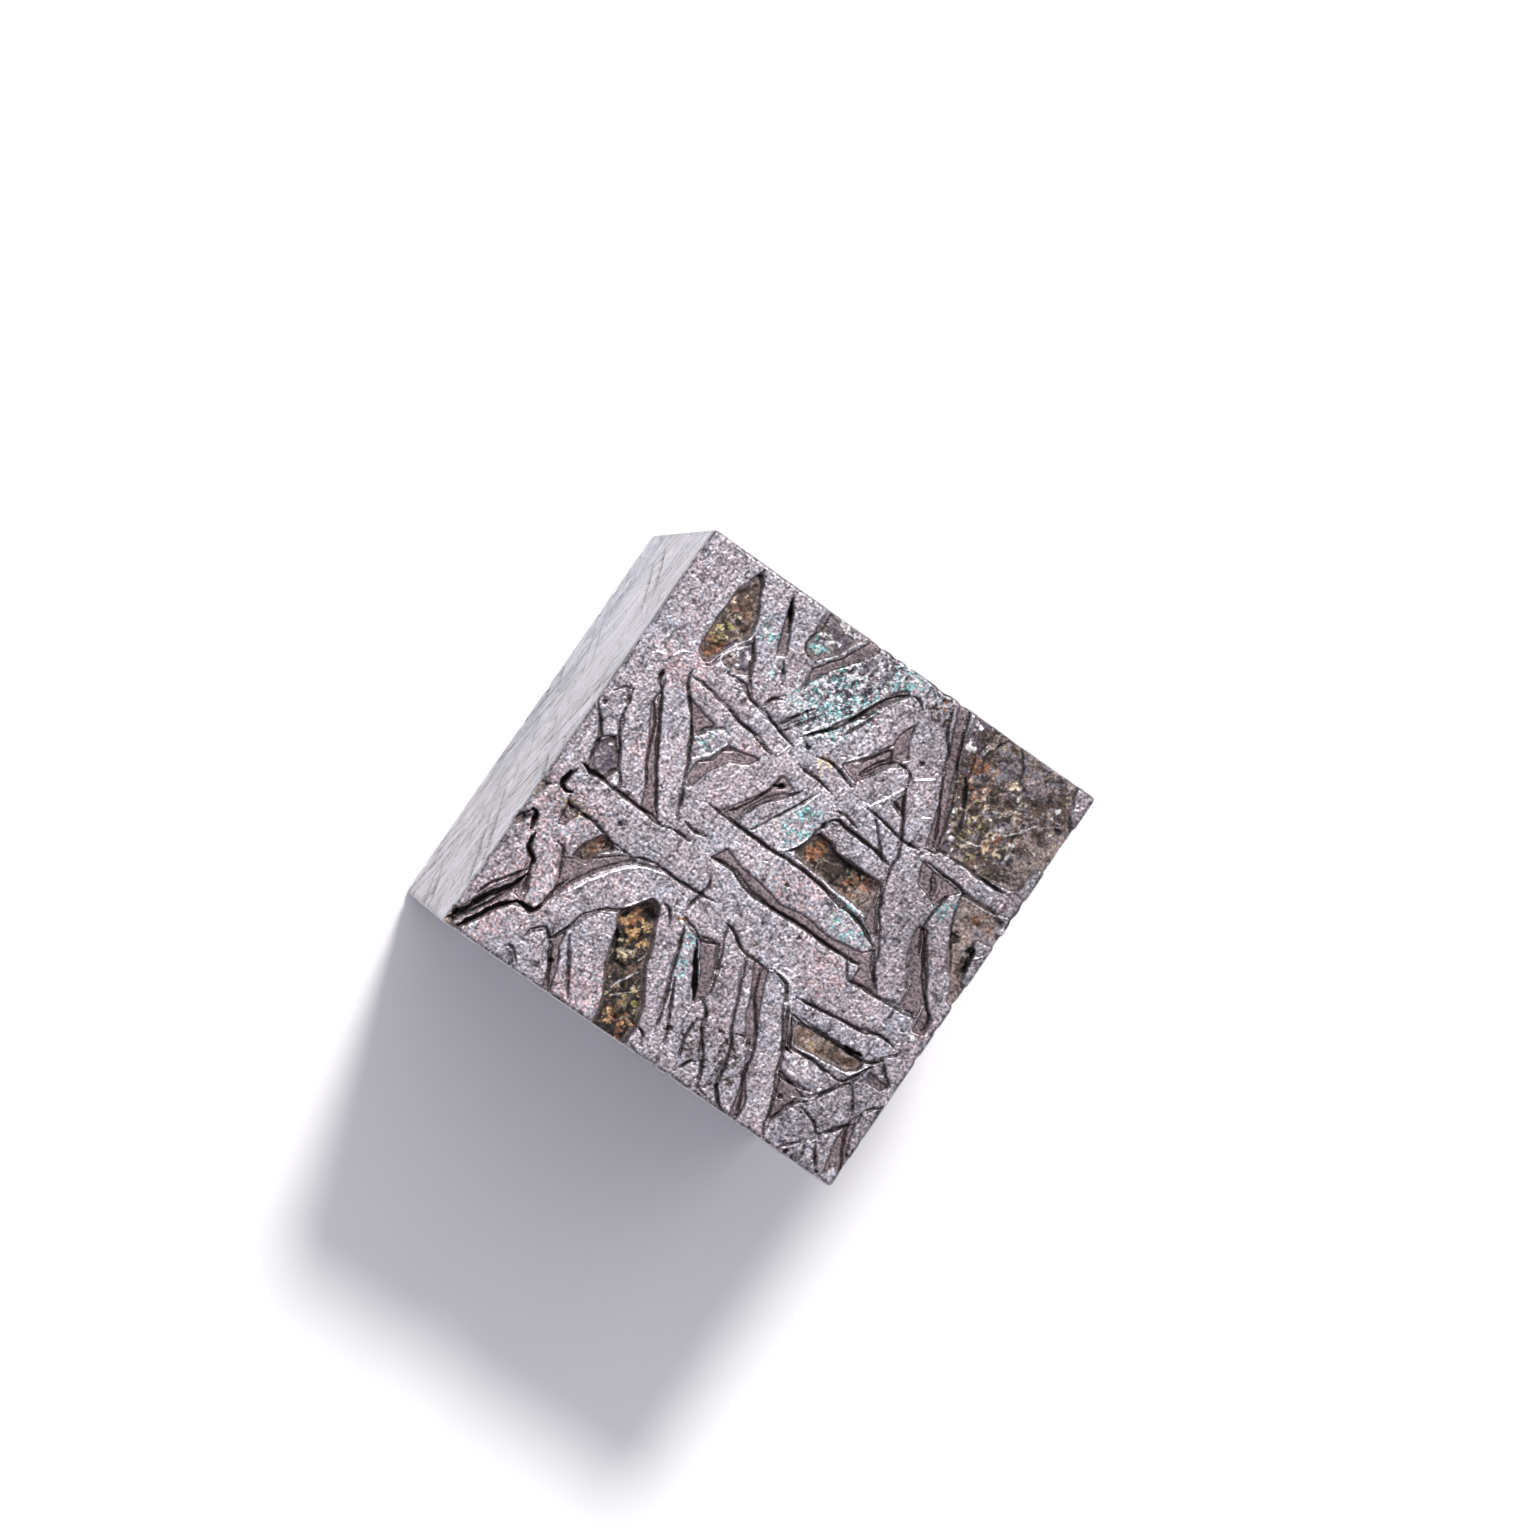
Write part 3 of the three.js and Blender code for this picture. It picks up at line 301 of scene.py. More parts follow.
# Thin dark lines on the top face round the iron plates, in millimetres from its near left corner
OUTLINES = [
    [(1.05, 12.5), (1.2, 11.9), (1.3, 11.3), (1.6, 10.7), (2.0, 10.2), (2.35, 9.5)],
    [(0.4, 12.0), (0.7, 12.4), (1.05, 12.5)],
    [(2.05, 12.6), (2.7, 11.7), (3.1, 10.6), (3.9, 9.4)],
    [(2.0, 13.3), (2.4, 12.6), (3.2, 11.2), (4.0, 10.0), (4.8, 8.8)],
    [(3.7, 13.0), (4.2, 12.3), (4.7, 11.3), (5.0, 10.6), (5.3, 10.0), (5.6, 9.2)],
    [(2.75, 14.35), (3.3, 14.4), (3.9, 14.35)],
    [(2.6, 14.6), (2.8, 14.0), (3.3, 13.5), (3.7, 13.0)],
    [(4.8, 14.15), (5.5, 13.95), (6.2, 13.9), (6.8, 13.7), (7.4, 13.6)],
    [(4.0, 15.3), (4.8, 15.35), (5.3, 15.0), (5.8, 14.9)],
    [(4.0, 17.2), (4.4, 16.5), (4.8, 15.7), (5.3, 15.1)],
    [(5.6, 17.1), (5.9, 16.6), (6.1, 16.2)],
    [(5.95, 15.0), (6.1, 15.5), (6.6, 15.8)],
    [(5.95, 15.0), (6.6, 14.8), (7.1, 14.6), (8.0, 14.4)],
    [(6.9, 14.7), (7.4, 15.6), (7.8, 16.2)],
    [(7.2, 14.6), (7.7, 15.4), (8.3, 16.3)],
    [(9.0, 14.6), (9.5, 14.75), (10.0, 14.7), (10.5, 14.6), (11.0, 14.4)],
    [(8.6, 13.9), (9.2, 13.85), (9.9, 13.8), (10.5, 13.7)],
    [(8.3, 13.1), (8.15, 12.2), (7.7, 11.2), (7.2, 10.5)],
    [(9.4, 13.1), (8.8, 12.3), (8.2, 11.6), (7.9, 10.8)],
    [(9.9, 13.2), (9.4, 12.2), (8.9, 11.2), (8.5, 10.5)],
    [(0.0, 11.4), (0.5, 10.8), (1.0, 10.2), (1.1, 9.6), (1.3, 9.0)],
    [(1.1, 10.1), (1.35, 10.35), (1.6, 10.5)],
    [(11.0, 19.05), (11.4, 19.05), (11.65, 18.75)],
    [(10.8, 15.5), (11.2, 16.2), (11.5, 16.6), (11.7, 16.3), (11.4, 15.9), (11.0, 15.1)],
    [(11.0, 15.0), (11.5, 15.8), (12.0, 16.3), (12.4, 16.4), (12.8, 16.2), (12.9, 15.9)],
    [(12.9, 15.9), (13.1, 15.4), (13.6, 14.6), (14.0, 13.9), (14.3, 13.2), (14.4, 12.4), (14.6, 11.7)],
    [(14.6, 11.7), (15.0, 10.8), (15.5, 10.1), (16.0, 9.3), (16.2, 8.7), (16.8, 8.0)],
    [(12.0, 14.1), (13.0, 14.0), (14.0, 13.8), (14.9, 13.85)],
    [(12.7, 14.9), (13.2, 14.85), (13.6, 14.6)],
    [(10.2, 10.5), (10.7, 11.2), (10.85, 12.0), (11.0, 12.6)],
    [(10.9, 13.1), (11.5, 13.3), (12.2, 13.1)],
    [(12.7, 19.6), (13.1, 18.6), (13.6, 18.0), (13.9, 17.2), (14.3, 16.4), (15.0, 15.2), (15.4, 14.3)],
    [(13.4, 19.9), (14.1, 18.0), (14.7, 17.0), (15.3, 15.4), (15.6, 14.3)],
    [(14.6, 18.6), (15.1, 17.4), (15.6, 16.2), (16.0, 15.1)],
    [(15.1, 14.1), (15.6, 14.2), (15.7, 14.9)],
    [(15.4, 13.65), (16.4, 13.6), (17.4, 13.55), (17.6, 13.3)],
    [(17.0, 12.9), (16.95, 12.0), (17.0, 11.2), (17.5, 10.2)],
    [(17.6, 13.2), (17.8, 12.4), (18.2, 11.6), (18.7, 10.9), (19.1, 10.3)],
    [(17.0, 11.3), (17.6, 10.4), (18.2, 9.5), (18.9, 8.7), (19.3, 8.4)],
    [(1.4, 7.35), (1.6, 7.05), (2.0, 7.05), (2.9, 7.0), (3.4, 6.9), (4.0, 6.75), (5.0, 6.7)],
    [(1.55, 6.95), (1.6, 6.6), (1.85, 6.45)],
    [(5.0, 6.7), (5.6, 6.95), (6.1, 7.05), (7.5, 7.05), (8.9, 7.15)],
    [(8.2, 8.0), (8.35, 7.6), (8.3, 7.1), (8.2, 6.5), (8.2, 6.0)],
    [(0.0, 5.1), (0.2, 5.6), (0.5, 6.0)],
    [(2.1, 5.5), (2.5, 5.3), (2.8, 4.7), (3.0, 4.2)],
    [(3.1, 1.3), (3.3, 1.9), (3.7, 2.25), (4.1, 2.0), (4.4, 2.6), (4.7, 3.5), (5.0, 4.0)],
    [(4.2, 1.9), (4.6, 1.2), (5.0, 0.6), (5.3, 0.1)],
    [(4.7, 2.6), (5.2, 1.8), (5.7, 1.1), (6.2, 0.3)],
    [(2.75, 0.5), (2.8, 0.75), (3.1, 0.75), (3.3, 0.6), (3.6, 0.2)],
    [(8.0, 5.95), (8.7, 5.8), (9.2, 5.6), (9.5, 5.5), (10.1, 5.75)],
    [(8.5, 5.6), (8.8, 4.9), (9.1, 4.0), (9.4, 3.2), (9.7, 2.3), (10.0, 1.2)],
    [(9.4, 3.6), (9.9, 2.6), (10.4, 1.6), (10.6, 0.9)],
    [(7.1, 5.9), (7.6, 5.8), (8.0, 5.2)],
    [(9.1, 1.0), (9.6, 0.9), (9.9, 0.4)],
    [(9.8, 6.7), (10.3, 6.6), (11.0, 6.2), (11.5, 6.1), (12.2, 6.1)],
    [(10.0, 6.7), (10.3, 5.9), (10.6, 5.2), (11.0, 4.0)],
    [(5.6, 8.6), (6.1, 8.65), (6.7, 8.6)],
    [(2.15, 8.8), (2.3, 9.3), (2.6, 9.3), (2.9, 8.9), (3.0, 8.65)],
    [(6.0, 9.2), (6.5, 9.1), (7.1, 9.15)],
    [(12.5, 6.15), (12.8, 6.2), (13.5, 6.0), (13.8, 5.5), (14.1, 4.9), (14.6, 4.2), (15.0, 3.5)],
    [(15.0, 3.5), (15.3, 2.7), (15.7, 1.9), (16.0, 1.2), (16.1, 0.6), (16.4, 0.1)],
    [(12.3, 5.9), (12.6, 5.0), (13.1, 4.3), (13.6, 3.6), (14.0, 2.8), (14.2, 1.8), (14.6, 1.1), (14.9, 0.2)],
    [(11.5, 5.9), (11.9, 4.9), (12.2, 4.2), (12.6, 3.2), (13.0, 2.6), (13.3, 1.8), (13.4, 1.0), (14.0, 0.3)],
    [(10.8, 3.5), (11.3, 3.2), (11.6, 2.4), (12.1, 1.8), (12.6, 0.9), (12.8, 0.4), (13.3, 0.2)],
    [(11.2, 2.7), (11.2, 1.7), (11.5, 0.9)],
    [(11.6, 0.3), (11.9, 1.0), (12.25, 1.25)],
    [(14.1, 5.8), (15.0, 5.9), (16.3, 6.1), (17.3, 6.2), (18.1, 6.5), (18.9, 6.4)],
    [(14.3, 5.1), (15.5, 5.1), (16.6, 5.15), (17.8, 5.15), (18.5, 5.4), (18.8, 5.7)],
    [(15.1, 5.9), (15.15, 5.5), (15.1, 5.3)],
    [(14.5, 5.0), (14.9, 4.3), (15.1, 3.95), (16.0, 4.0), (17.0, 3.95), (17.9, 4.05), (18.5, 5.2)],
    [(15.4, 2.7), (16.3, 2.7), (17.0, 2.9)],
    [(18.9, 5.6), (19.3, 5.2), (19.7, 4.9)],
    [(17.2, 2.6), (17.6, 3.4), (18.1, 4.1), (18.4, 4.7)],
    [(18.2, 4.2), (18.7, 3.5), (19.0, 3.0)],
    [(16.2, 0.9), (16.5, 1.9), (17.0, 2.4)],
    [(17.0, 2.1), (17.8, 1.9), (18.2, 1.6), (18.8, 2.2), (19.1, 2.7)],
    [(18.3, 1.3), (18.7, 0.7), (19.1, 0.2)],
    [(18.0, 0.9), (18.15, 0.5), (18.2, 0.1)],
    [(19.1, 2.6), (19.4, 1.8), (19.8, 1.1), (20.0, 0.6)],
    [(19.3, 3.0), (19.4, 3.6), (19.9, 4.0)],
    [(17.1, 0.1), (17.4, 0.5), (17.8, 0.9)],
    [(15.0, 8.4), (15.5, 7.7), (15.9, 7.7), (17.0, 7.75), (17.8, 7.8), (18.9, 7.9)],
    [(17.9, 7.8), (17.95, 7.4), (17.9, 7.0)],
    [(15.5, 19.9), (15.1, 18.7), (15.4, 17.9)],
    [(6.1, 19.9), (6.2, 19.2), (6.0, 18.6), (6.1, 18.0), (6.8, 17.8)],
    [(13.9, 12.6), (13.2, 13.3), (12.6, 13.9)],
    [(9.4, 15.9), (9.8, 16.6), (10.2, 17.6)],
    [(16.2, 19.9), (16.7, 19.2), (16.9, 18.6)],
]

# Wider cracks of the top face
CRACKS = [
    [(1.65, 13.9), (1.75, 13.45), (2.05, 13.2)],
    [(8.0, 14.9), (8.6, 15.6), (9.2, 16.3), (9.6, 17.2), (10.1, 18.2), (10.8, 19.0)],
    [(6.4, 10.4), (7.2, 10.35), (8.4, 10.35), (9.6, 10.3), (10.4, 10.35)],
    [(10.4, 10.35), (12.0, 10.3), (13.5, 10.05), (14.6, 9.9), (15.7, 9.4)],
    [(11.0, 12.6), (11.3, 12.9), (12.2, 12.85), (13.3, 12.8), (14.2, 12.6)],
    [(11.0, 12.0), (11.8, 11.95), (12.0, 11.75), (13.2, 11.7), (14.1, 11.8)],
    [(16.1, 14.35), (17.2, 14.45), (18.4, 14.4), (19.1, 14.45)],
    [(16.0, 13.4), (16.3, 12.9), (16.6, 12.4)],
    [(1.0, 8.4), (0.9, 8.0), (0.85, 7.6), (1.1, 7.45), (1.35, 7.5)],
    [(0.5, 6.0), (0.7, 5.9), (0.85, 5.3)],
    [(1.1, 5.2), (1.2, 4.6), (1.6, 4.3), (1.7, 4.0), (1.9, 3.5), (2.1, 2.9)],
    [(1.7, 3.8), (1.2, 3.1), (0.7, 2.4), (0.5, 1.8)],
    [(1.8, 3.5), (1.5, 2.8), (0.9, 1.9), (0.5, 1.0), (0.05, 0.3)],
    [(1.75, 3.0), (1.3, 2.1), (0.8, 1.2), (0.2, 0.35)],
    [(2.1, 2.5), (1.5, 1.8), (1.0, 0.9), (0.6, 0.2)],
    [(2.0, 2.4), (2.3, 2.55), (2.8, 2.5), (3.0, 2.9), (3.1, 3.6), (3.3, 4.4)],
    [(5.0, 4.0), (5.5, 4.4), (6.0, 4.7), (6.4, 5.2)],
    [(9.3, 5.4), (9.8, 4.6), (10.3, 3.9), (10.6, 3.2)],
    [(1.2, 8.75), (2.1, 8.7), (3.2, 8.65), (4.1, 8.6), (5.4, 8.5)],
    [(7.8, 8.6), (8.6, 8.7), (9.3, 8.5), (10.0, 8.3), (11.0, 8.3), (12.8, 8.4), (14.3, 8.35), (15.6, 8.45)],
    [(13.4, 0.9), (13.8, 0.4), (14.3, 0.1)],
    [(12.9, 3.1), (13.3, 3.2), (13.4, 2.9)],
    [(19.3, 8.4), (19.5, 8.0), (19.4, 7.6)],
    [(4.4, 19.5), (4.8, 18.8), (5.1, 18.2)],
]

# The widest and blackest cracks of the top face
GASHES = [
    [(1.8, 3.6), (1.5, 2.8), (0.9, 1.9), (0.5, 1.0), (0.05, 0.3)],
    [(2.1, 2.5), (1.5, 1.8), (1.0, 0.9), (0.6, 0.2)],
    [(0.45, 6.0), (0.7, 5.9), (0.85, 5.3)],
    [(1.1, 5.2), (1.2, 4.6), (1.65, 4.3), (1.7, 4.0)],
    [(2.2, 2.5), (2.8, 2.5), (3.0, 2.8)],
    [(0.85, 8.2), (0.85, 7.6), (1.1, 7.45), (1.35, 7.5)],
    [(1.15, 8.75), (1.5, 8.7), (2.2, 8.75)],
    [(17.1, 5.3), (17.5, 5.25), (17.85, 5.35)],
    [(9.5, 5.0), (10.1, 4.1), (10.6, 3.3)],
    [(6.2, 4.0), (6.6, 3.3), (6.8, 3.0)],
    [(19.3, 11.7), (19.4, 11.2), (19.5, 10.7)],
    [(8.3, 12.6), (8.6, 12.8)],
    [(4.5, 19.3), (4.7, 18.9), (4.9, 18.6)],
    [(15.0, 3.8), (15.3, 3.75)],
    [(14.9, 17.5), (15.1, 17.2), (15.5, 16.4)],
]

# Directions square to the crystal's plates: one family lies level and three lean
PLATE_LEAN = math.acos(1 / 3)
PLATE_NORMALS = [(0, 0, 1)] + [
    (math.sin(PLATE_LEAN) * math.cos(turn), math.sin(PLATE_LEAN) * math.sin(turn), math.cos(PLATE_LEAN))
    for turn in np.radians((90, 210, 330))
]

# The bars on the side faces: how many, and the shortest and longest, narrowest and widest halves
SIDE_PLATES = 120
BAR_HALF_LENGTHS = (2.0, 6.0)
BAR_HALF_WIDTHS = (0.35, 0.65)


def smoothstep(low, high, value):
    t = np.clip((value - low) / (high - low), 0.0, 1.0)
    return t * t * (3.0 - 2.0 * t)


def noise(u, v, cell, seed):
    """Smooth random values from -1 to 1, with one random value at each corner of a square lattice."""
    size = 512
    table = np.random.default_rng(seed).uniform(-1.0, 1.0, (size, size))
    x, y = u / cell + size / 4, v / cell + size / 4
    i, j = np.floor(x).astype(int), np.floor(y).astype(int)
    fx, fy = x - i, y - j
    fx, fy = fx * fx * (3 - 2 * fx), fy * fy * (3 - 2 * fy)
    i, j, i1, j1 = i % size, j % size, (i + 1) % size, (j + 1) % size
    near = table[i, j] * (1 - fy) + table[i, j1] * fy
    far = table[i1, j] * (1 - fy) + table[i1, j1] * fy
    return near * (1 - fx) + far * fx


def layered_noise(u, v, cell, seed, layers):
    """Noise with finer and weaker noise added to it."""
    total = np.zeros_like(u)
    for layer in range(layers):
        total += noise(u, v, cell / LAYER_FINER ** layer, seed + layer) / LAYER_WEAKER ** layer
    return total


def blurred(field, radius, step):
    """The field after a Gaussian blur of that radius in millimetres."""
    reach = int(math.ceil(3 * radius / step))
    weights = np.exp(-0.5 * (np.arange(-reach, reach + 1) * step / radius) ** 2)
    weights /= weights.sum()
    for axis in (0, 1):
        pad = [(reach, reach) if a == axis else (0, 0) for a in (0, 1)]
        wide = np.pad(field, pad, mode="edge")
        count = field.shape[axis]
        field = sum(w * np.take(wide, range(k, k + count), axis) for k, w in enumerate(weights))
    return field


def near_line(u, v, line):
    """Distance from each place to a line through the given points, and how far along the line it is."""
    best = np.hypot(u - line[0][0], v - line[0][1])
    along = np.zeros(u.shape)
    lengths = [math.dist(a, b) for a, b in zip(line, line[1:])]
    start = 0.0
    for (ua, va), (ub, vb), length in zip(line, line[1:], lengths):
        t = np.clip(((u - ua) * (ub - ua) + (v - va) * (vb - va)) / length ** 2, 0.0, 1.0)
        distance = np.hypot(u - ua - t * (ub - ua), v - va - t * (vb - va))
        closer = distance < best
        best = np.where(closer, distance, best)
        along = np.where(closer, (start + t * length) / sum(lengths), along)
        start += length
    return best, along


def smooth_line(points, parts=6):
    """More points on a smooth curve through the given ones."""
    ends = [points[0], *points, points[-1]]
    line = []
    for a, b, c, d in zip(ends, ends[1:], ends[2:], ends[3:]):
        for k in range(parts):
            t = k / parts
            line.append(tuple(
                0.5 * (2 * q + (r - p) * t + (2 * p - 5 * q + 4 * r - s) * t ** 2
                       + (3 * q - p - 3 * r + s) * t ** 3)
                for p, q, r, s in zip(a, b, c, d)
            ))
    return line + [tuple(points[-1])]


class Face:
    """A flat face of the cube, with a fine lattice of places on it."""

    def __init__(self, name, corner, u_axis, v_axis, cells):
        self.name = name
        self.is_top = name == "top"
        self.texture = 1.0 if self.is_top else SIDE_TEXTURE
        self.corner = np.array(corner, float)
        self.u_axis = np.array(u_axis, float)
        self.v_axis = np.array(v_axis, float)
        self.normal = np.cross(self.u_axis, self.v_axis)
        self.cells = cells
        self.step = SIDE / (2 * cells)
        line = np.linspace(0.0, SIDE, 2 * cells + 1)
        self.u, self.v = np.meshgrid(line, line, indexing="ij")
        self.edge = np.minimum(np.minimum(self.u, SIDE - self.u), np.minimum(self.v, SIDE - self.v))
        self.seed = 1000 * sum(name.encode())

    def place(self, u, v):
        return self.corner + u[..., None] * self.u_axis + v[..., None] * self.v_axis

    def sample(self, field, points):
        """The field's values at the points' feet on this face."""
        local = points - self.corner
        x = np.clip(local @ self.u_axis / self.step, 0, 2 * self.cells)
        y = np.clip(local @ self.v_axis / self.step, 0, 2 * self.cells)
        i = np.minimum(np.rint(x).astype(int), 2 * self.cells)
        j = np.minimum(np.rint(y).astype(int), 2 * self.cells)
        return field[i, j]

    def noise(self, cell, seed, layers=1):
        return layered_noise(self.u, self.v, cell, self.seed + seed, layers)

    def stretched_noise(self, angle, length, width, seed):
        """Noise drawn out along a direction, like brush strokes."""
        turn = np.radians(angle)
        along = self.u * np.cos(turn) + self.v * np.sin(turn)
        across = self.v * np.cos(turn) - self.u * np.sin(turn)
        return noise(along * width / length, across, width, self.seed + seed)

    def soft(self, mask, radius):
        """The mask as values from 0 to 1 that change over about that many millimetres."""
        return blurred(mask.astype(float), radius, self.step)

    def opened(self, mask, radius):
        """The mask without its parts that are narrower than about twice the radius."""
        core = self.soft(mask, radius) > 0.9
        return (self.soft(core, 0.8 * radius) > 0.03) & mask

    def window(self, points, reach):
        """The part of the lattice that lies round the points."""
        low = np.floor((np.min(points, 0) - reach) / self.step).astype(int)
        high = np.ceil((np.max(points, 0) + reach) / self.step).astype(int)
        low, high = np.clip(low, 0, 2 * self.cells), np.clip(high, 0, 2 * self.cells) + 1
        return slice(low[0], high[0]), slice(low[1], high[1])


HALF = SIDE / 2
X, Y, Z = (1, 0, 0), (0, 1, 0), (0, 0, 1)
FACES = [
    Face("top", (-HALF, -HALF, SIDE), X, Y, TOP_CELLS),
    Face("base", (-HALF, -HALF, 0), Y, X, SIDE_CELLS),
    Face("front", (-HALF, -HALF, 0), X, Z, SIDE_CELLS),
    Face("back", (-HALF, HALF, 0), Z, X, SIDE_CELLS),
    Face("right", (HALF, -HALF, 0), Y, Z, SIDE_CELLS),
    Face("left", (-HALF, -HALF, 0), Z, Y, SIDE_CELLS),
]


def solid_tree():
    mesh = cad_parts[NODE].data
    mesh.calc_loop_triangles()
    corners = [v.co for v in mesh.vertices]
    return BVHTree.FromPolygons(corners, [tuple(t.vertices) for t in mesh.loop_triangles])


def solid_depth(face, tree):
    """How far the solid lies below the flat face, looked up at places that wander a little, so that
    straight edges come out as natural ones."""
    wander_u, wander_v = (
        sum(reach * face.noise(cell, first + wave) for wave, (reach, cell) in enumerate(EDGE_WAVES))
        for first in (0, len(EDGE_WAVES))
    )
    low, high = EDGE_RADIUS + RAY_INSET, SIDE - EDGE_RADIUS - RAY_INSET
    places = face.place(np.clip(face.u + wander_u, low, high), np.clip(face.v + wander_v, low, high))
    starts = (places + RAY_CLEARANCE * face.normal).reshape(-1, 3) * MM
    towards = Vector(-face.normal)
    cast = tree.ray_cast
    hits = [cast(start, towards)[3] for start in starts.tolist()]
    reach = np.array([RAY_CLEARANCE * MM if hit is None else hit for hit in hits])
    return reach.reshape(face.u.shape) / MM - RAY_CLEARANCE


def read_solid(face, tree):
    """Splits the solid's relief on a face into its strips, pits and seams and the depth without the seams."""
    depth = solid_depth(face, tree)
    if not face.is_top:
        depth[depth > DEEPEST_SIDE_CUT] = 0
    recess = depth > SHALLOWEST_RECESS
    strip = np.abs(depth - STRIP_DEPTH) < DEPTH_TOLERANCE
    if face.is_top:
        pit = face.opened(recess & ~strip, NARROWEST_PIT)
        bridge = ~face.opened(~pit, NARROWEST_BRIDGE) & ~recess
        depth[bridge] = BRIDGE_DEPTH
        pit |= bridge
        seam = recess & ~strip & ~pit
    else:
        strip = face.opened(strip, NARROWEST_PIT)
        pit = np.zeros_like(strip)
        seam = recess & ~strip
        depth[~strip] = 0
    kept = 1.0 - seam
    ground = face.soft(depth * kept, GROUND_BLUR) / np.maximum(face.soft(kept, GROUND_BLUR), 0.02)
    return recess, strip, pit, seam, ground


def soft_parts(face, tree):
    """How much each place of a face belongs to a seam, strip, pit, shore or open plate."""
    recess, strip, pit, seam, ground = read_solid(face, tree)
    if face.is_top:
        soft_seam = smoothstep(0.35, 1.0, face.soft(seam, 0.03))
    else:
        soft_seam = np.clip(1.5 * face.soft(seam, 0.08), 0, 1)
    soft_strip = face.soft(strip, 0.03)
    soft_pit = face.soft(pit, 0.035)
    border = face.soft(strip | pit, 0.032)
    return SimpleNamespace(
        recess=recess,
        ground=ground,
        seam=soft_seam,
        strip=soft_strip,
        pit=soft_pit,
        inner_pit=smoothstep(0.62, 0.9, face.soft(pit, 0.13)),
        shore=np.clip(4 * border * (1 - border), 0, 1),
        near_recess=face.soft(recess, 0.1),
        plate=np.clip(1 - soft_seam - soft_strip - soft_pit, 0, 1),
    )


def connected(is_plate):
    """A number for each place: every place of one connected stretch gets the same one."""
    numbers = np.where(is_plate, np.arange(is_plate.size).reshape(is_plate.shape), is_plate.size)
    while True:
        before = numbers.sum()
        for view, open_view in (
            (numbers, is_plate), (numbers[::-1], is_plate[::-1]),
            (numbers.T, is_plate.T), (numbers.T[::-1], is_plate.T[::-1]),
        ):
            for row in range(1, len(view)):
                np.minimum(view[row], view[row - 1], out=view[row], where=open_view[row] & open_view[row - 1])
        if numbers.sum() == before:
            return numbers


def plate_numbers(face, recess):
    """A number for each iron plate, also given to the places along its borders."""
    numbers = connected(face.soft(recess, 0.07) < 0.12)
    for _ in range(PLATE_BORDER_STEPS):
        for axis in (0, 1):
            for shift in (1, -1):
                moved = np.roll(numbers, shift, axis)
                numbers = np.where(numbers == numbers.size, moved, numbers)
    return numbers


def plate_values(numbers, seed, low, high):
    """A random value for every place, the same all over one plate."""
    values = np.random.default_rng(seed).uniform(low, high, PLATE_TABLE)
    return values[(numbers * PLATE_STRIDE) % PLATE_TABLE]


def plate_strokes(face, choice, kinds):
    """Brush strokes whose direction changes from plate to plate."""
    limits = [choice < limit for limit, *_ in kinds]
    return np.select(limits, [face.stretched_noise(*settings) for _, *settings in kinds])


def crooked_lines(face, cell, thinness, gap_cell, gap_low, gap_high, seed):
    """Fine crooked lines, broken where a second noise is low."""
    lines = smoothstep(thinness, 1.0, 1 - np.abs(face.noise(cell, seed)))
    return lines * smoothstep(gap_low, gap_high, face.noise(gap_cell, seed + 1))


def iron_patterns(face, numbers):
    """Random patterns of the etched iron and of the pits' crust, each a field over the face."""
    choice = plate_values(numbers, face.seed + 1, 0, 1)
    patterns = {name: crooked_lines(face, *settings) for name, settings in CROOKED_LINES.items()}
    grain = face.noise(0.08, 10) + 0.7 * face.noise(0.17, 11)
    hatch_strength = plate_values(numbers, face.seed + 2, 0.15, 1.0)
    patterns["grain"] = grain + 0.9 * plate_strokes(face, choice, GRAIN_STROKES)
    patterns["hatch"] = hatch_strength * plate_strokes(face, choice, HATCH_STROKES)
    patterns["mottle"] = face.noise(0.7, 15, layers=3)
    patterns["flecks"] = smoothstep(0.45, 0.85, face.noise(0.11, 34))
    patterns["crust"] = face.noise(0.42, 20, layers=4)
    return patterns


def cut_relief(face, parts, patterns):
    """The depth of every place: the solid's own cuts with the small relief added."""
    etching = sum(cut * patterns[name] for name, (cut, _) in PLATE_LOOK.items())
    crust = CRUST_RELIEF * patterns["crust"] - THREAD_RISE * patterns["threads"]
    inland = face.texture * smoothstep(0.05, 0.35, face.edge)
    face.depth = parts.ground + PLATE_DROOP * parts.near_recess * parts.plate + SEAM_CUT * parts.seam
    face.depth += inland * parts.plate * etching
    face.depth += STRIP_RELIEF * parts.strip * face.noise(0.45, 40, layers=4)
    face.depth += SHORE_CUT * parts.shore * (1 - parts.pit)
    face.depth += parts.pit * crust * (0.35 + 0.65 * parts.inner_pit)
    if not face.is_top:
        face.depth *= 0.3 + 0.7 * smoothstep(0.0, 0.5, face.edge)


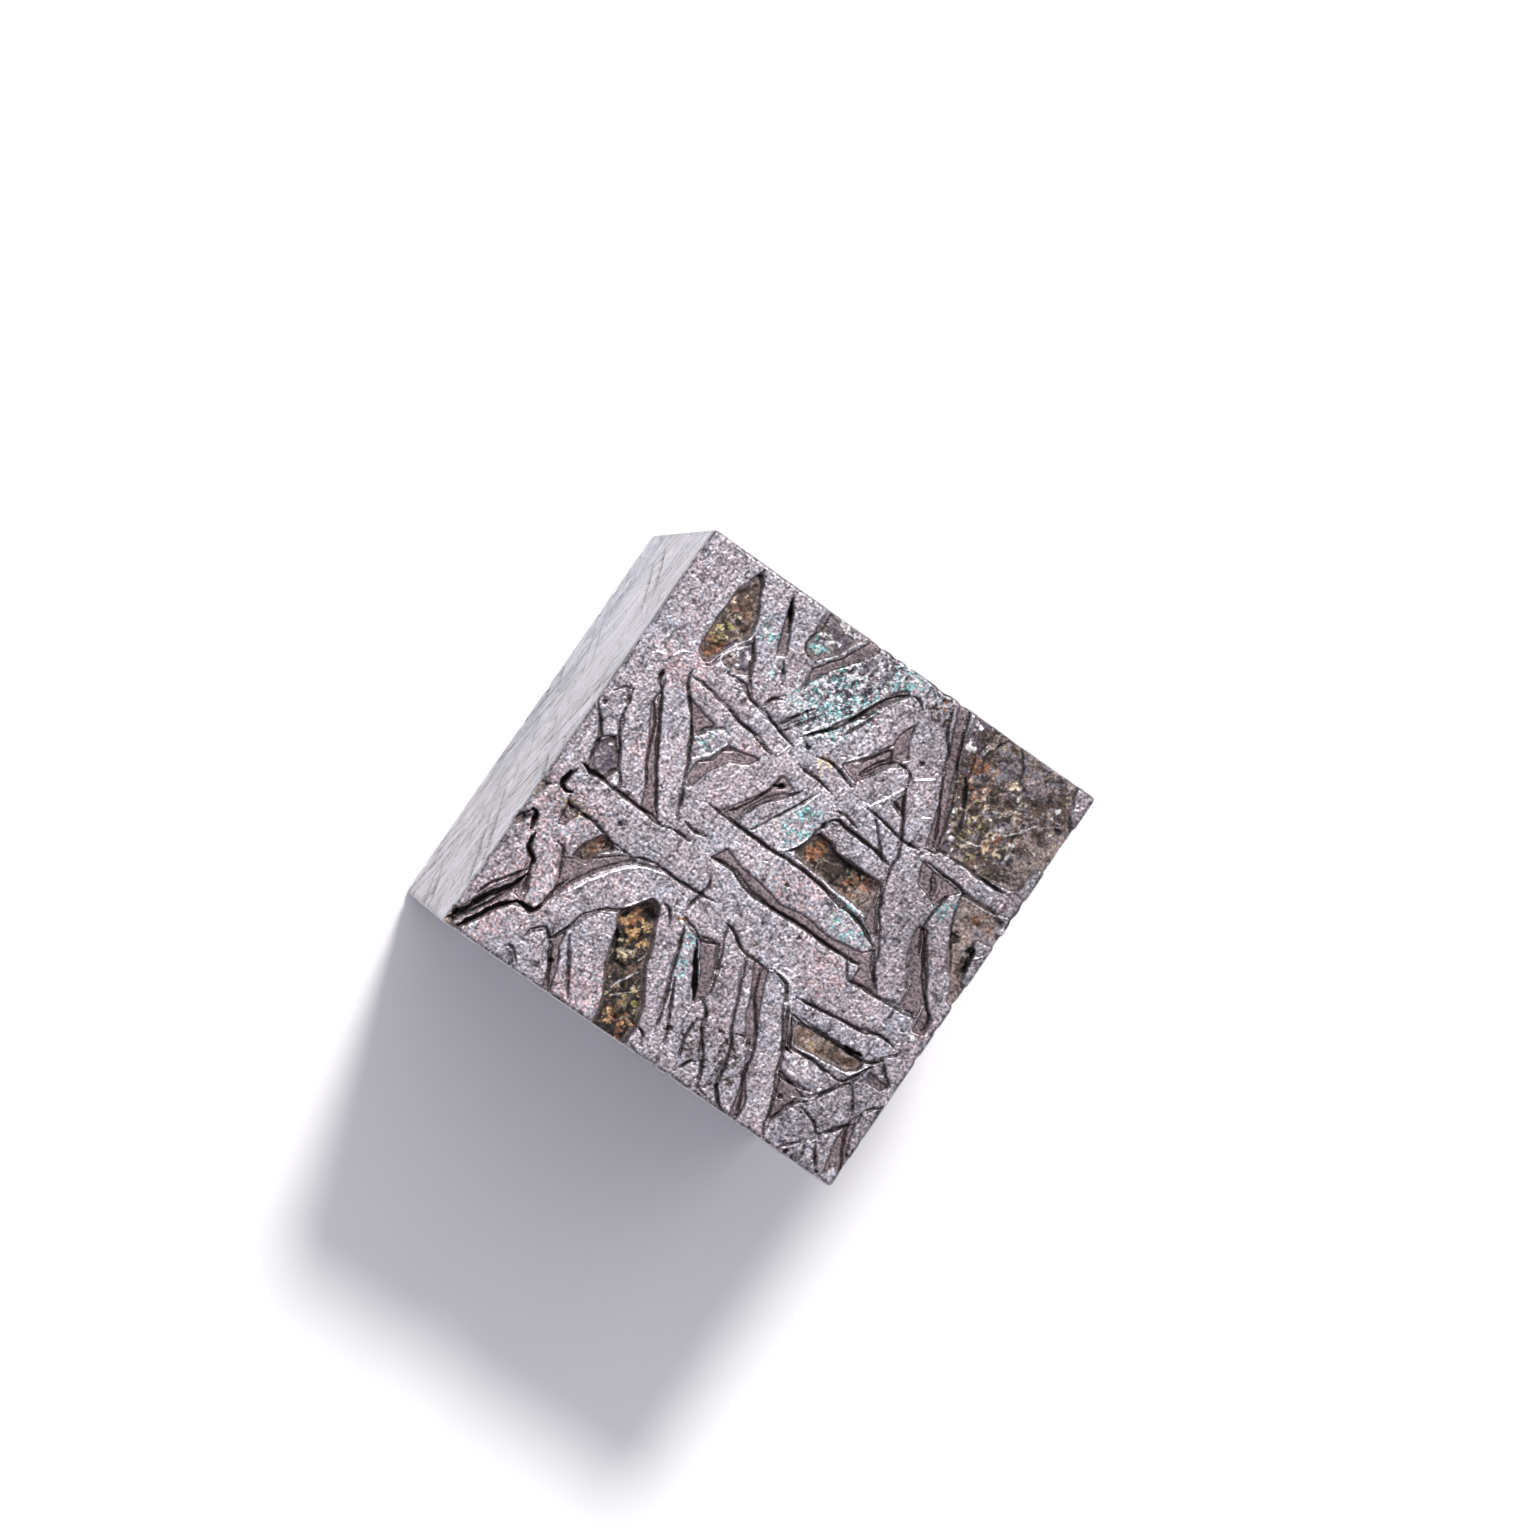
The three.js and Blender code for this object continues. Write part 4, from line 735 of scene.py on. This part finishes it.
def side_plates(face):
    """A number for each place of a face: bars along the crystal's directions, later ones over earlier."""
    picks = np.random.default_rng(face.seed + 90)
    traces = [np.cross(face.normal, square) for square in PLATE_NORMALS]
    traces = [trace / np.linalg.norm(trace) for trace in traces if np.linalg.norm(trace) > 0.1]
    numbers = np.zeros(face.u.shape, int)
    wavering_u = face.u + 0.08 * face.noise(0.9, 94)
    wavering_v = face.v + 0.08 * face.noise(0.9, 95)
    for number in range(1, SIDE_PLATES + 1):
        trace = traces[picks.integers(len(traces))]
        along_u, along_v = trace @ face.u_axis, trace @ face.v_axis
        middle_u, middle_v = picks.uniform(0, SIDE, 2)
        half_length, half_width = picks.uniform(*BAR_HALF_LENGTHS), picks.uniform(*BAR_HALF_WIDTHS)
        du, dv = wavering_u - middle_u, wavering_v - middle_v
        inside = np.abs(du * along_v - dv * along_u) < half_width
        numbers[inside & (np.abs(du * along_u + dv * along_v) < half_length)] = number
    return numbers


def mark_side_plates(face, light):
    """The bars of a side face: each has its own brightness and grain, and a dark outline in a pale halo."""
    bars = side_plates(face)
    light *= plate_values(bars, face.seed + 3, *BAR_TONES)
    light += 0.05 * face.stretched_noise(plate_values(bars, face.seed + 4, 0, 180), 1.6, 0.12, 91)
    edges = (bars != np.roll(bars, 1, 0)) | (bars != np.roll(bars, 1, 1))
    lines = smoothstep(0.08, 0.32, face.soft(edges, 0.045))
    lines *= 0.35 + 0.65 * smoothstep(-0.4, 0.3, face.noise(1.1, 92))
    light += 0.5 * face.soft(edges, 0.12) - 0.45 * lines
    light += 0.05 * face.noise(1.8, 93, layers=4)
    face.depth += BAR_LINE_DEPTH * lines * smoothstep(0.1, 0.4, face.edge)


def paint(colour, weight, paint_colour):
    colour += np.clip(weight, 0, 1)[..., None] * (np.array(paint_colour) - colour)


def paint_patches(face, colour, patches, where, cell, softness=0.08):
    """Broken patches of colour: each covers its share of the ground round its line."""
    for number, (line, radius, paint_colour, cover) in enumerate(patches):
        part = face.window(line, 1.5 * radius)
        u, v = face.u[part], face.v[part]
        ragged = 0.5 + 0.5 * np.tanh(1.7 * layered_noise(u, v, cell, face.seed + 300 + 7 * number, 3))
        share = cover * smoothstep(1.35, 0.6, near_line(u, v, line)[0] / radius)
        weight = smoothstep(-softness, softness, ragged + share - 1)
        paint(colour[part], where[part] * weight, paint_colour)


def plate_light(face, patterns, numbers):
    """How bright the iron is at each place, as a factor on its colour, with painted shade along the edges."""
    light = 1 + face.texture * sum(lift * patterns[name] for name, (_, lift) in PLATE_LOOK.items())
    # Painted shade along the rounded edges, so that they show no bright rim
    light -= 0.35 * smoothstep(0.35, 0.05, face.edge)
    light *= 1 + (plate_values(numbers, face.seed, *PLATE_TONES) - 1) * (0.5 + 0.5 * face.texture)
    return light


def plate_colour(face):
    """The iron's colour, with broad and fine tints; on the side faces it is paler, partly a painted
    reflection of the pale floor.
    """
    colour = np.zeros(face.u.shape + (3,)) + (PLATE if face.is_top else SIDE_PLATE_AND_REFLECTION)
    broad = face.noise(1.3, 50, layers=3)
    fine = face.noise(0.15, 53) + 0.6 * face.noise(0.3, 54)
    for sign, tint, broad_cover, fine_cover in TINTS:
        cover = broad_cover * smoothstep(0.0, 0.9, sign * broad)
        cover += fine_cover * smoothstep(0.2, 1.0, sign * fine)
        paint(colour, face.texture * cover, tint)
    return colour


def paint_pits(face, colour, parts, patterns):
    """The crust in the rough pits of the top face."""
    paint(colour, parts.pit, TAUPE)
    paint_patches(face, colour, PIT_PAINTS, parts.pit * (0.25 + 0.75 * parts.inner_pit), 0.24)
    mottled = 1 + parts.pit * (0.30 * patterns["crust"] + 0.25 * patterns["grain"])
    colour *= np.clip(mottled, 0.3, 2)[..., None]
    paint(colour, 0.35 * patterns["threads"] * parts.inner_pit, CREAM)


def line_weight(u, v, line, half_width):
    """How much of a fine line covers each place; its course and width waver and its ends are thin."""
    wavering_u = u + 0.03 * noise(u, v, 0.3, 71)
    wavering_v = v + 0.03 * noise(u, v, 0.3, 72)
    distance, along = near_line(wavering_u, wavering_v, smooth_line(line))
    length = sum(math.dist(a, b) for a, b in zip(line, line[1:]))
    end = np.minimum(along, 1 - along) * length
    taper = 0.35 + 0.65 * smoothstep(0, 0.5, end)
    wobble = 1 + 0.35 * noise(u, v, 0.25, 70)
    return smoothstep(1.4, 0.6, distance / (half_width * taper * wobble))


def draw_lines(face, colour, lines, half_width, rise, cover, paint_colour):
    for line in lines:
        part = face.window(line, 0.4)
        weight = line_weight(face.u[part], face.v[part], line, half_width)
        face.depth[part] -= rise * weight
        paint(colour[part], cover * weight, paint_colour)


def draw_spots(face, colour, spots, rise, paint_colour):
    """Small knobs or holes, as high or deep as their radius times the rise."""
    for u, v, radius in spots:
        part = face.window([(u, v)], 2.5 * radius)
        reach = np.hypot(face.u[part] - u, face.v[part] - v)
        reach *= 1 + 0.5 * noise(face.u[part], face.v[part], radius, face.seed + 80)
        weight = smoothstep(1.3, 0.6, reach / radius)
        face.depth[part] -= rise * radius * weight
        paint(colour[part], 0.95 * weight, paint_colour)


def mark_top(face, colour):
    """Raised rims and knobs with painted highlights, dark lines, holes and broad tones of the top face."""
    # Raised rims with a painted highlight along them
    draw_lines(face, colour, HIGHLIT_RIMS, RIM_HALF, RIM_HEIGHT, 0.6, BRIGHT)
    draw_lines(face, colour, OUTLINES, OUTLINE_HALF, -LINE_DEPTH, 0.85, SEAM)
    draw_lines(face, colour, CRACKS, CRACK_HALF, -LINE_DEPTH, 0.95, SEAM)
    draw_lines(face, colour, GASHES, GASH_HALF, -2 * LINE_DEPTH, 1.0, BLACK)
    # Small raised knobs with a painted highlight on each
    draw_spots(face, colour, GLINTING_KNOBS, 0.5, BRIGHT)
    draw_spots(face, colour, HOLES, -1.0, BLACK)
    for place, radius, factor in TONES:
        reach = np.hypot(face.u - place[0], face.v - place[1]) / (0.7 * radius)
        colour *= (1 + (factor - 1) * np.exp(-reach ** 2))[..., None]


def finish_face(face, tree):
    """Fills in the face's depth, colour and level of ground."""
    parts = soft_parts(face, tree)
    numbers = plate_numbers(face, parts.recess)
    patterns = iron_patterns(face, numbers)
    cut_relief(face, parts, patterns)

    light = plate_light(face, patterns, numbers)
    colour = plate_colour(face)
    if not face.is_top:
        mark_side_plates(face, light)
    if face.is_top:
        paint_patches(face, colour, STAINS, np.ones_like(face.u), 0.15)
    elif face.name == "left":
        paint_patches(face, colour, SIDE_STAINS, np.full_like(face.u, SIDE_STAIN_COVER), 0.5, softness=0.7)
    colour *= np.clip(light, 0.2, 2.4)[..., None]
    # On the side faces the strips are paler, partly a painted reflection of the pale floor
    paint(colour, parts.strip, STRIP if face.is_top else SIDE_STRIP_AND_REFLECTION)
    colour *= (1 + 0.14 * parts.strip * face.noise(0.4, 60, layers=4))[..., None]
    if face.is_top:
        paint_pits(face, colour, parts, patterns)
    # Dark line along the borders of strips and pits, partly painted shade at the step down into them
    paint(colour, 0.8 * parts.shore * (0.7 + 0.5 * face.noise(0.6, 61)), SHORE_LINE_AND_SHADE)
    paint(colour, parts.seam * (0.6 if face.is_top else 0.7), SEAM)
    if face.is_top:
        mark_top(face, colour)
    elif face.name == "left":
        draw_lines(face, colour, SIDE_LINES, OUTLINE_HALF, -LINE_DEPTH / 3, 0.7, SEAM)

    face.colour = np.clip(colour, DARKEST, 1.0)
    if face.is_top:
        face.ground = IRON_LEVEL + (1 - IRON_LEVEL) * np.clip(parts.pit + 0.5 * parts.seam, 0, 1)
    else:
        face.ground = IRON_LEVEL * parts.seam


def surface(face, u, v):
    """Where the places of a face lie once its edges are rounded and every face's relief is cut."""
    flat = face.place(u, v)
    centre = np.array([0, 0, HALF])
    inner = centre + np.clip(flat - centre, -(HALF - EDGE_RADIUS), HALF - EDGE_RADIUS)
    outward = flat - inner
    outward /= np.linalg.norm(outward, axis=-1, keepdims=True)
    points = inner + EDGE_RADIUS * outward
    for other in FACES:
        below = (other.corner - flat) @ other.normal
        share = 1 - smoothstep(0, EDGE_REACH, below)
        if share.max() > 0:
            points -= (share * other.sample(other.depth, flat))[..., None] * other.normal
    return points


def face_meshes(face, halves):
    """The face as one mesh, or as two halves that share their normals where they meet."""
    line = np.linspace(0.0, SIDE, face.cells + 1)
    u, v = np.meshgrid(line, line, indexing="ij")
    points = surface(face, u, v)
    if face.is_top:
        # Every second corner of the rim goes midway between its neighbours, where the coarser face's edge is
        for rim in (points[0], points[-1], points[:, 0], points[:, -1]):
            rim[1:-1:2] = (rim[0:-2:2] + rim[2::2]) / 2
    normals = np.cross(np.gradient(points, axis=0), np.gradient(points, axis=1))
    normals /= np.linalg.norm(normals, axis=-1, keepdims=True)
    made = []
    for part in range(halves):
        rows = slice(part * face.cells // halves, (part + 1) * face.cells // halves + 1)
        made.append(mesh_object(face, f"{face.name}_{part + 1}", points[rows], normals[rows], rows))
    return made


def mesh_object(face, name, points, normals, rows):
    count_u, count_v = points.shape[:2]
    index = np.arange(count_u * count_v).reshape(count_u, count_v)
    quads = np.stack([index[:-1, :-1], index[1:, :-1], index[1:, 1:], index[:-1, 1:]], -1).reshape(-1, 4)
    mesh = bpy.data.meshes.new(name)
    mesh.vertices.add(index.size)
    mesh.vertices.foreach_set("co", (points * MM).astype(np.float32).ravel())
    mesh.loops.add(quads.size)
    mesh.loops.foreach_set("vertex_index", quads.ravel().astype(np.int32))
    mesh.polygons.add(len(quads))
    mesh.polygons.foreach_set("loop_start", np.arange(0, quads.size, 4, dtype=np.int32))
    mesh.polygons.foreach_set("use_smooth", np.ones(len(quads), bool))
    mesh.update(calc_edges=True)
    mesh.normals_split_custom_set_from_vertices(normals.reshape(-1, 3).tolist())
    at = slice(None, None, 2)
    colour = np.concatenate([face.colour[at, at][rows], face.ground[at, at][rows][..., None]], -1)
    layer = mesh.color_attributes.new("etched", "FLOAT_COLOR", "POINT")
    layer.data.foreach_set("color", colour.astype(np.float32).ravel())
    piece = bpy.data.objects.new(name, mesh)
    bpy.context.scene.collection.objects.link(piece)
    return piece


def iron_material():
    material = bpy.data.materials.new("etched iron")
    material.use_nodes = True
    nodes, links = material.node_tree.nodes, material.node_tree.links
    shader = nodes["Principled BSDF"]
    colour = nodes.new("ShaderNodeAttribute")
    colour.attribute_name = "etched"
    where = nodes.new("ShaderNodeTexCoord")
    grain = nodes.new("ShaderNodeTexNoise")
    grain.inputs["Scale"].default_value = 8000
    grain.inputs["Detail"].default_value = 3
    links.new(where.outputs["Object"], grain.inputs["Vector"])

    def level(source, low, high, to_low, to_high):
        """A node that turns the range from low to high into another one."""
        node = nodes.new("ShaderNodeMapRange")
        for name, value in zip(("From Min", "From Max", "To Min", "To Max"), (low, high, to_low, to_high)):
            node.inputs[name].default_value = value
        links.new(source, node.inputs["Value"])
        return node.outputs["Result"]

    ground = colour.outputs["Alpha"]
    contrast = nodes.new("ShaderNodeMath")
    contrast.operation = "MULTIPLY_ADD"
    links.new(level(grain.outputs["Fac"], 0.35, 0.65, -1, 1), contrast.inputs[0])
    links.new(level(ground, 0, IRON_LEVEL, 0.12, 0.6), contrast.inputs[1])
    contrast.inputs[2].default_value = 1
    mixed = nodes.new("ShaderNodeVectorMath")
    mixed.operation = "SCALE"
    links.new(colour.outputs["Color"], mixed.inputs[0])
    links.new(contrast.outputs["Value"], mixed.inputs["Scale"])
    links.new(mixed.outputs[0], shader.inputs["Base Color"])
    links.new(level(ground, IRON_LEVEL, 1, 0.72, 0.05), shader.inputs["Metallic"])
    links.new(level(ground, IRON_LEVEL, 1, 0.40, 0.75), shader.inputs["Roughness"])
    bump = nodes.new("ShaderNodeBump")
    links.new(level(ground, 0, IRON_LEVEL, 0.1, 0.6), bump.inputs["Strength"])
    bump.inputs["Distance"].default_value = 0.00003
    links.new(grain.outputs["Fac"], bump.inputs["Height"])
    links.new(bump.outputs["Normal"], shader.inputs["Normal"])
    return material


def make_cube():
    tree = solid_tree()
    for face in FACES:
        finish_face(face, tree)
        if face.name == "base":
            face.depth = np.maximum(face.depth, 0)
    material = iron_material()
    for face in FACES:
        for piece in face_meshes(face, 2 if face.is_top else 1):
            piece.data.materials.append(material)
            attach(piece, "root")
            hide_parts(NODE)


def make_floor():
    reach, gap = 0.6, 0.02 * MM
    mesh = bpy.data.meshes.new("floor")
    corners = [(-reach, -reach, -gap), (reach, -reach, -gap), (reach, reach, -gap), (-reach, reach, -gap)]
    mesh.from_pydata(corners, [], [(0, 1, 2, 3)])
    floor = bpy.data.objects.new("floor", mesh)
    bpy.context.scene.collection.objects.link(floor)
    material = bpy.data.materials.new("pale floor")
    material.use_nodes = True
    shader = material.node_tree.nodes["Principled BSDF"]
    shader.inputs["Base Color"].default_value = (0.88, 0.88, 0.88, 1)
    shader.inputs["Roughness"].default_value = 0.9
    shader.inputs["Specular IOR Level"].default_value = 0.2
    mesh.materials.append(material)


# How far the shadow of a point moves for each millimetre that it stands above the floor
SHADOW_SLOPE = (0.24, -0.88)

# The lamps: a name, the strength and the width in degrees; the wide one softens the shadow away from its foot
LAMPS = [("key", 2.75, 9.0), ("glow", 0.85, 75.0)]
LAMP_COLOUR = (1.0, 0.985, 0.96)
SKY_STRENGTH = 0.48
SKY_COLOUR = (0.90, 0.88, 1.0)


def make_light():
    for name, strength, width in LAMPS:
        sun = bpy.data.lights.new(name, "SUN")
        sun.energy = strength
        sun.angle = math.radians(width)
        sun.color = LAMP_COLOUR
        lamp = bpy.data.objects.new(name, sun)
        lamp.rotation_euler = Vector((*SHADOW_SLOPE, -1)).to_track_quat("-Z", "Y").to_euler()
        bpy.context.scene.collection.objects.link(lamp)
    world = bpy.data.worlds.new("soft light")
    world.use_nodes = True
    background = world.node_tree.nodes["Background"]
    background.inputs["Color"].default_value = (*SKY_COLOUR, 1)
    background.inputs["Strength"].default_value = SKY_STRENGTH
    bpy.context.scene.world = world
    bpy.context.scene.view_settings.view_transform = "Standard"


# The camera: its place in millimetres, its turn about the three axes in degrees, and its lens
CAMERA_PLACE = (-31.036, -8.139, 214.972)
CAMERA_TURN = (-2.1086, -8.7136, 34.9701)
CAMERA_LENS = 110.14


def make_camera():
    data = bpy.data.cameras.new("camera")
    data.sensor_width = 36
    data.lens = CAMERA_LENS
    data.clip_start = 0.01
    data.clip_end = 5
    camera = bpy.data.objects.new("camera", data)
    camera.location = Vector(CAMERA_PLACE) * MM
    camera.rotation_euler = [math.radians(angle) for angle in CAMERA_TURN]
    bpy.context.scene.collection.objects.link(camera)
    bpy.context.scene.camera = camera


make_camera()
make_cube()
make_floor()
make_light()
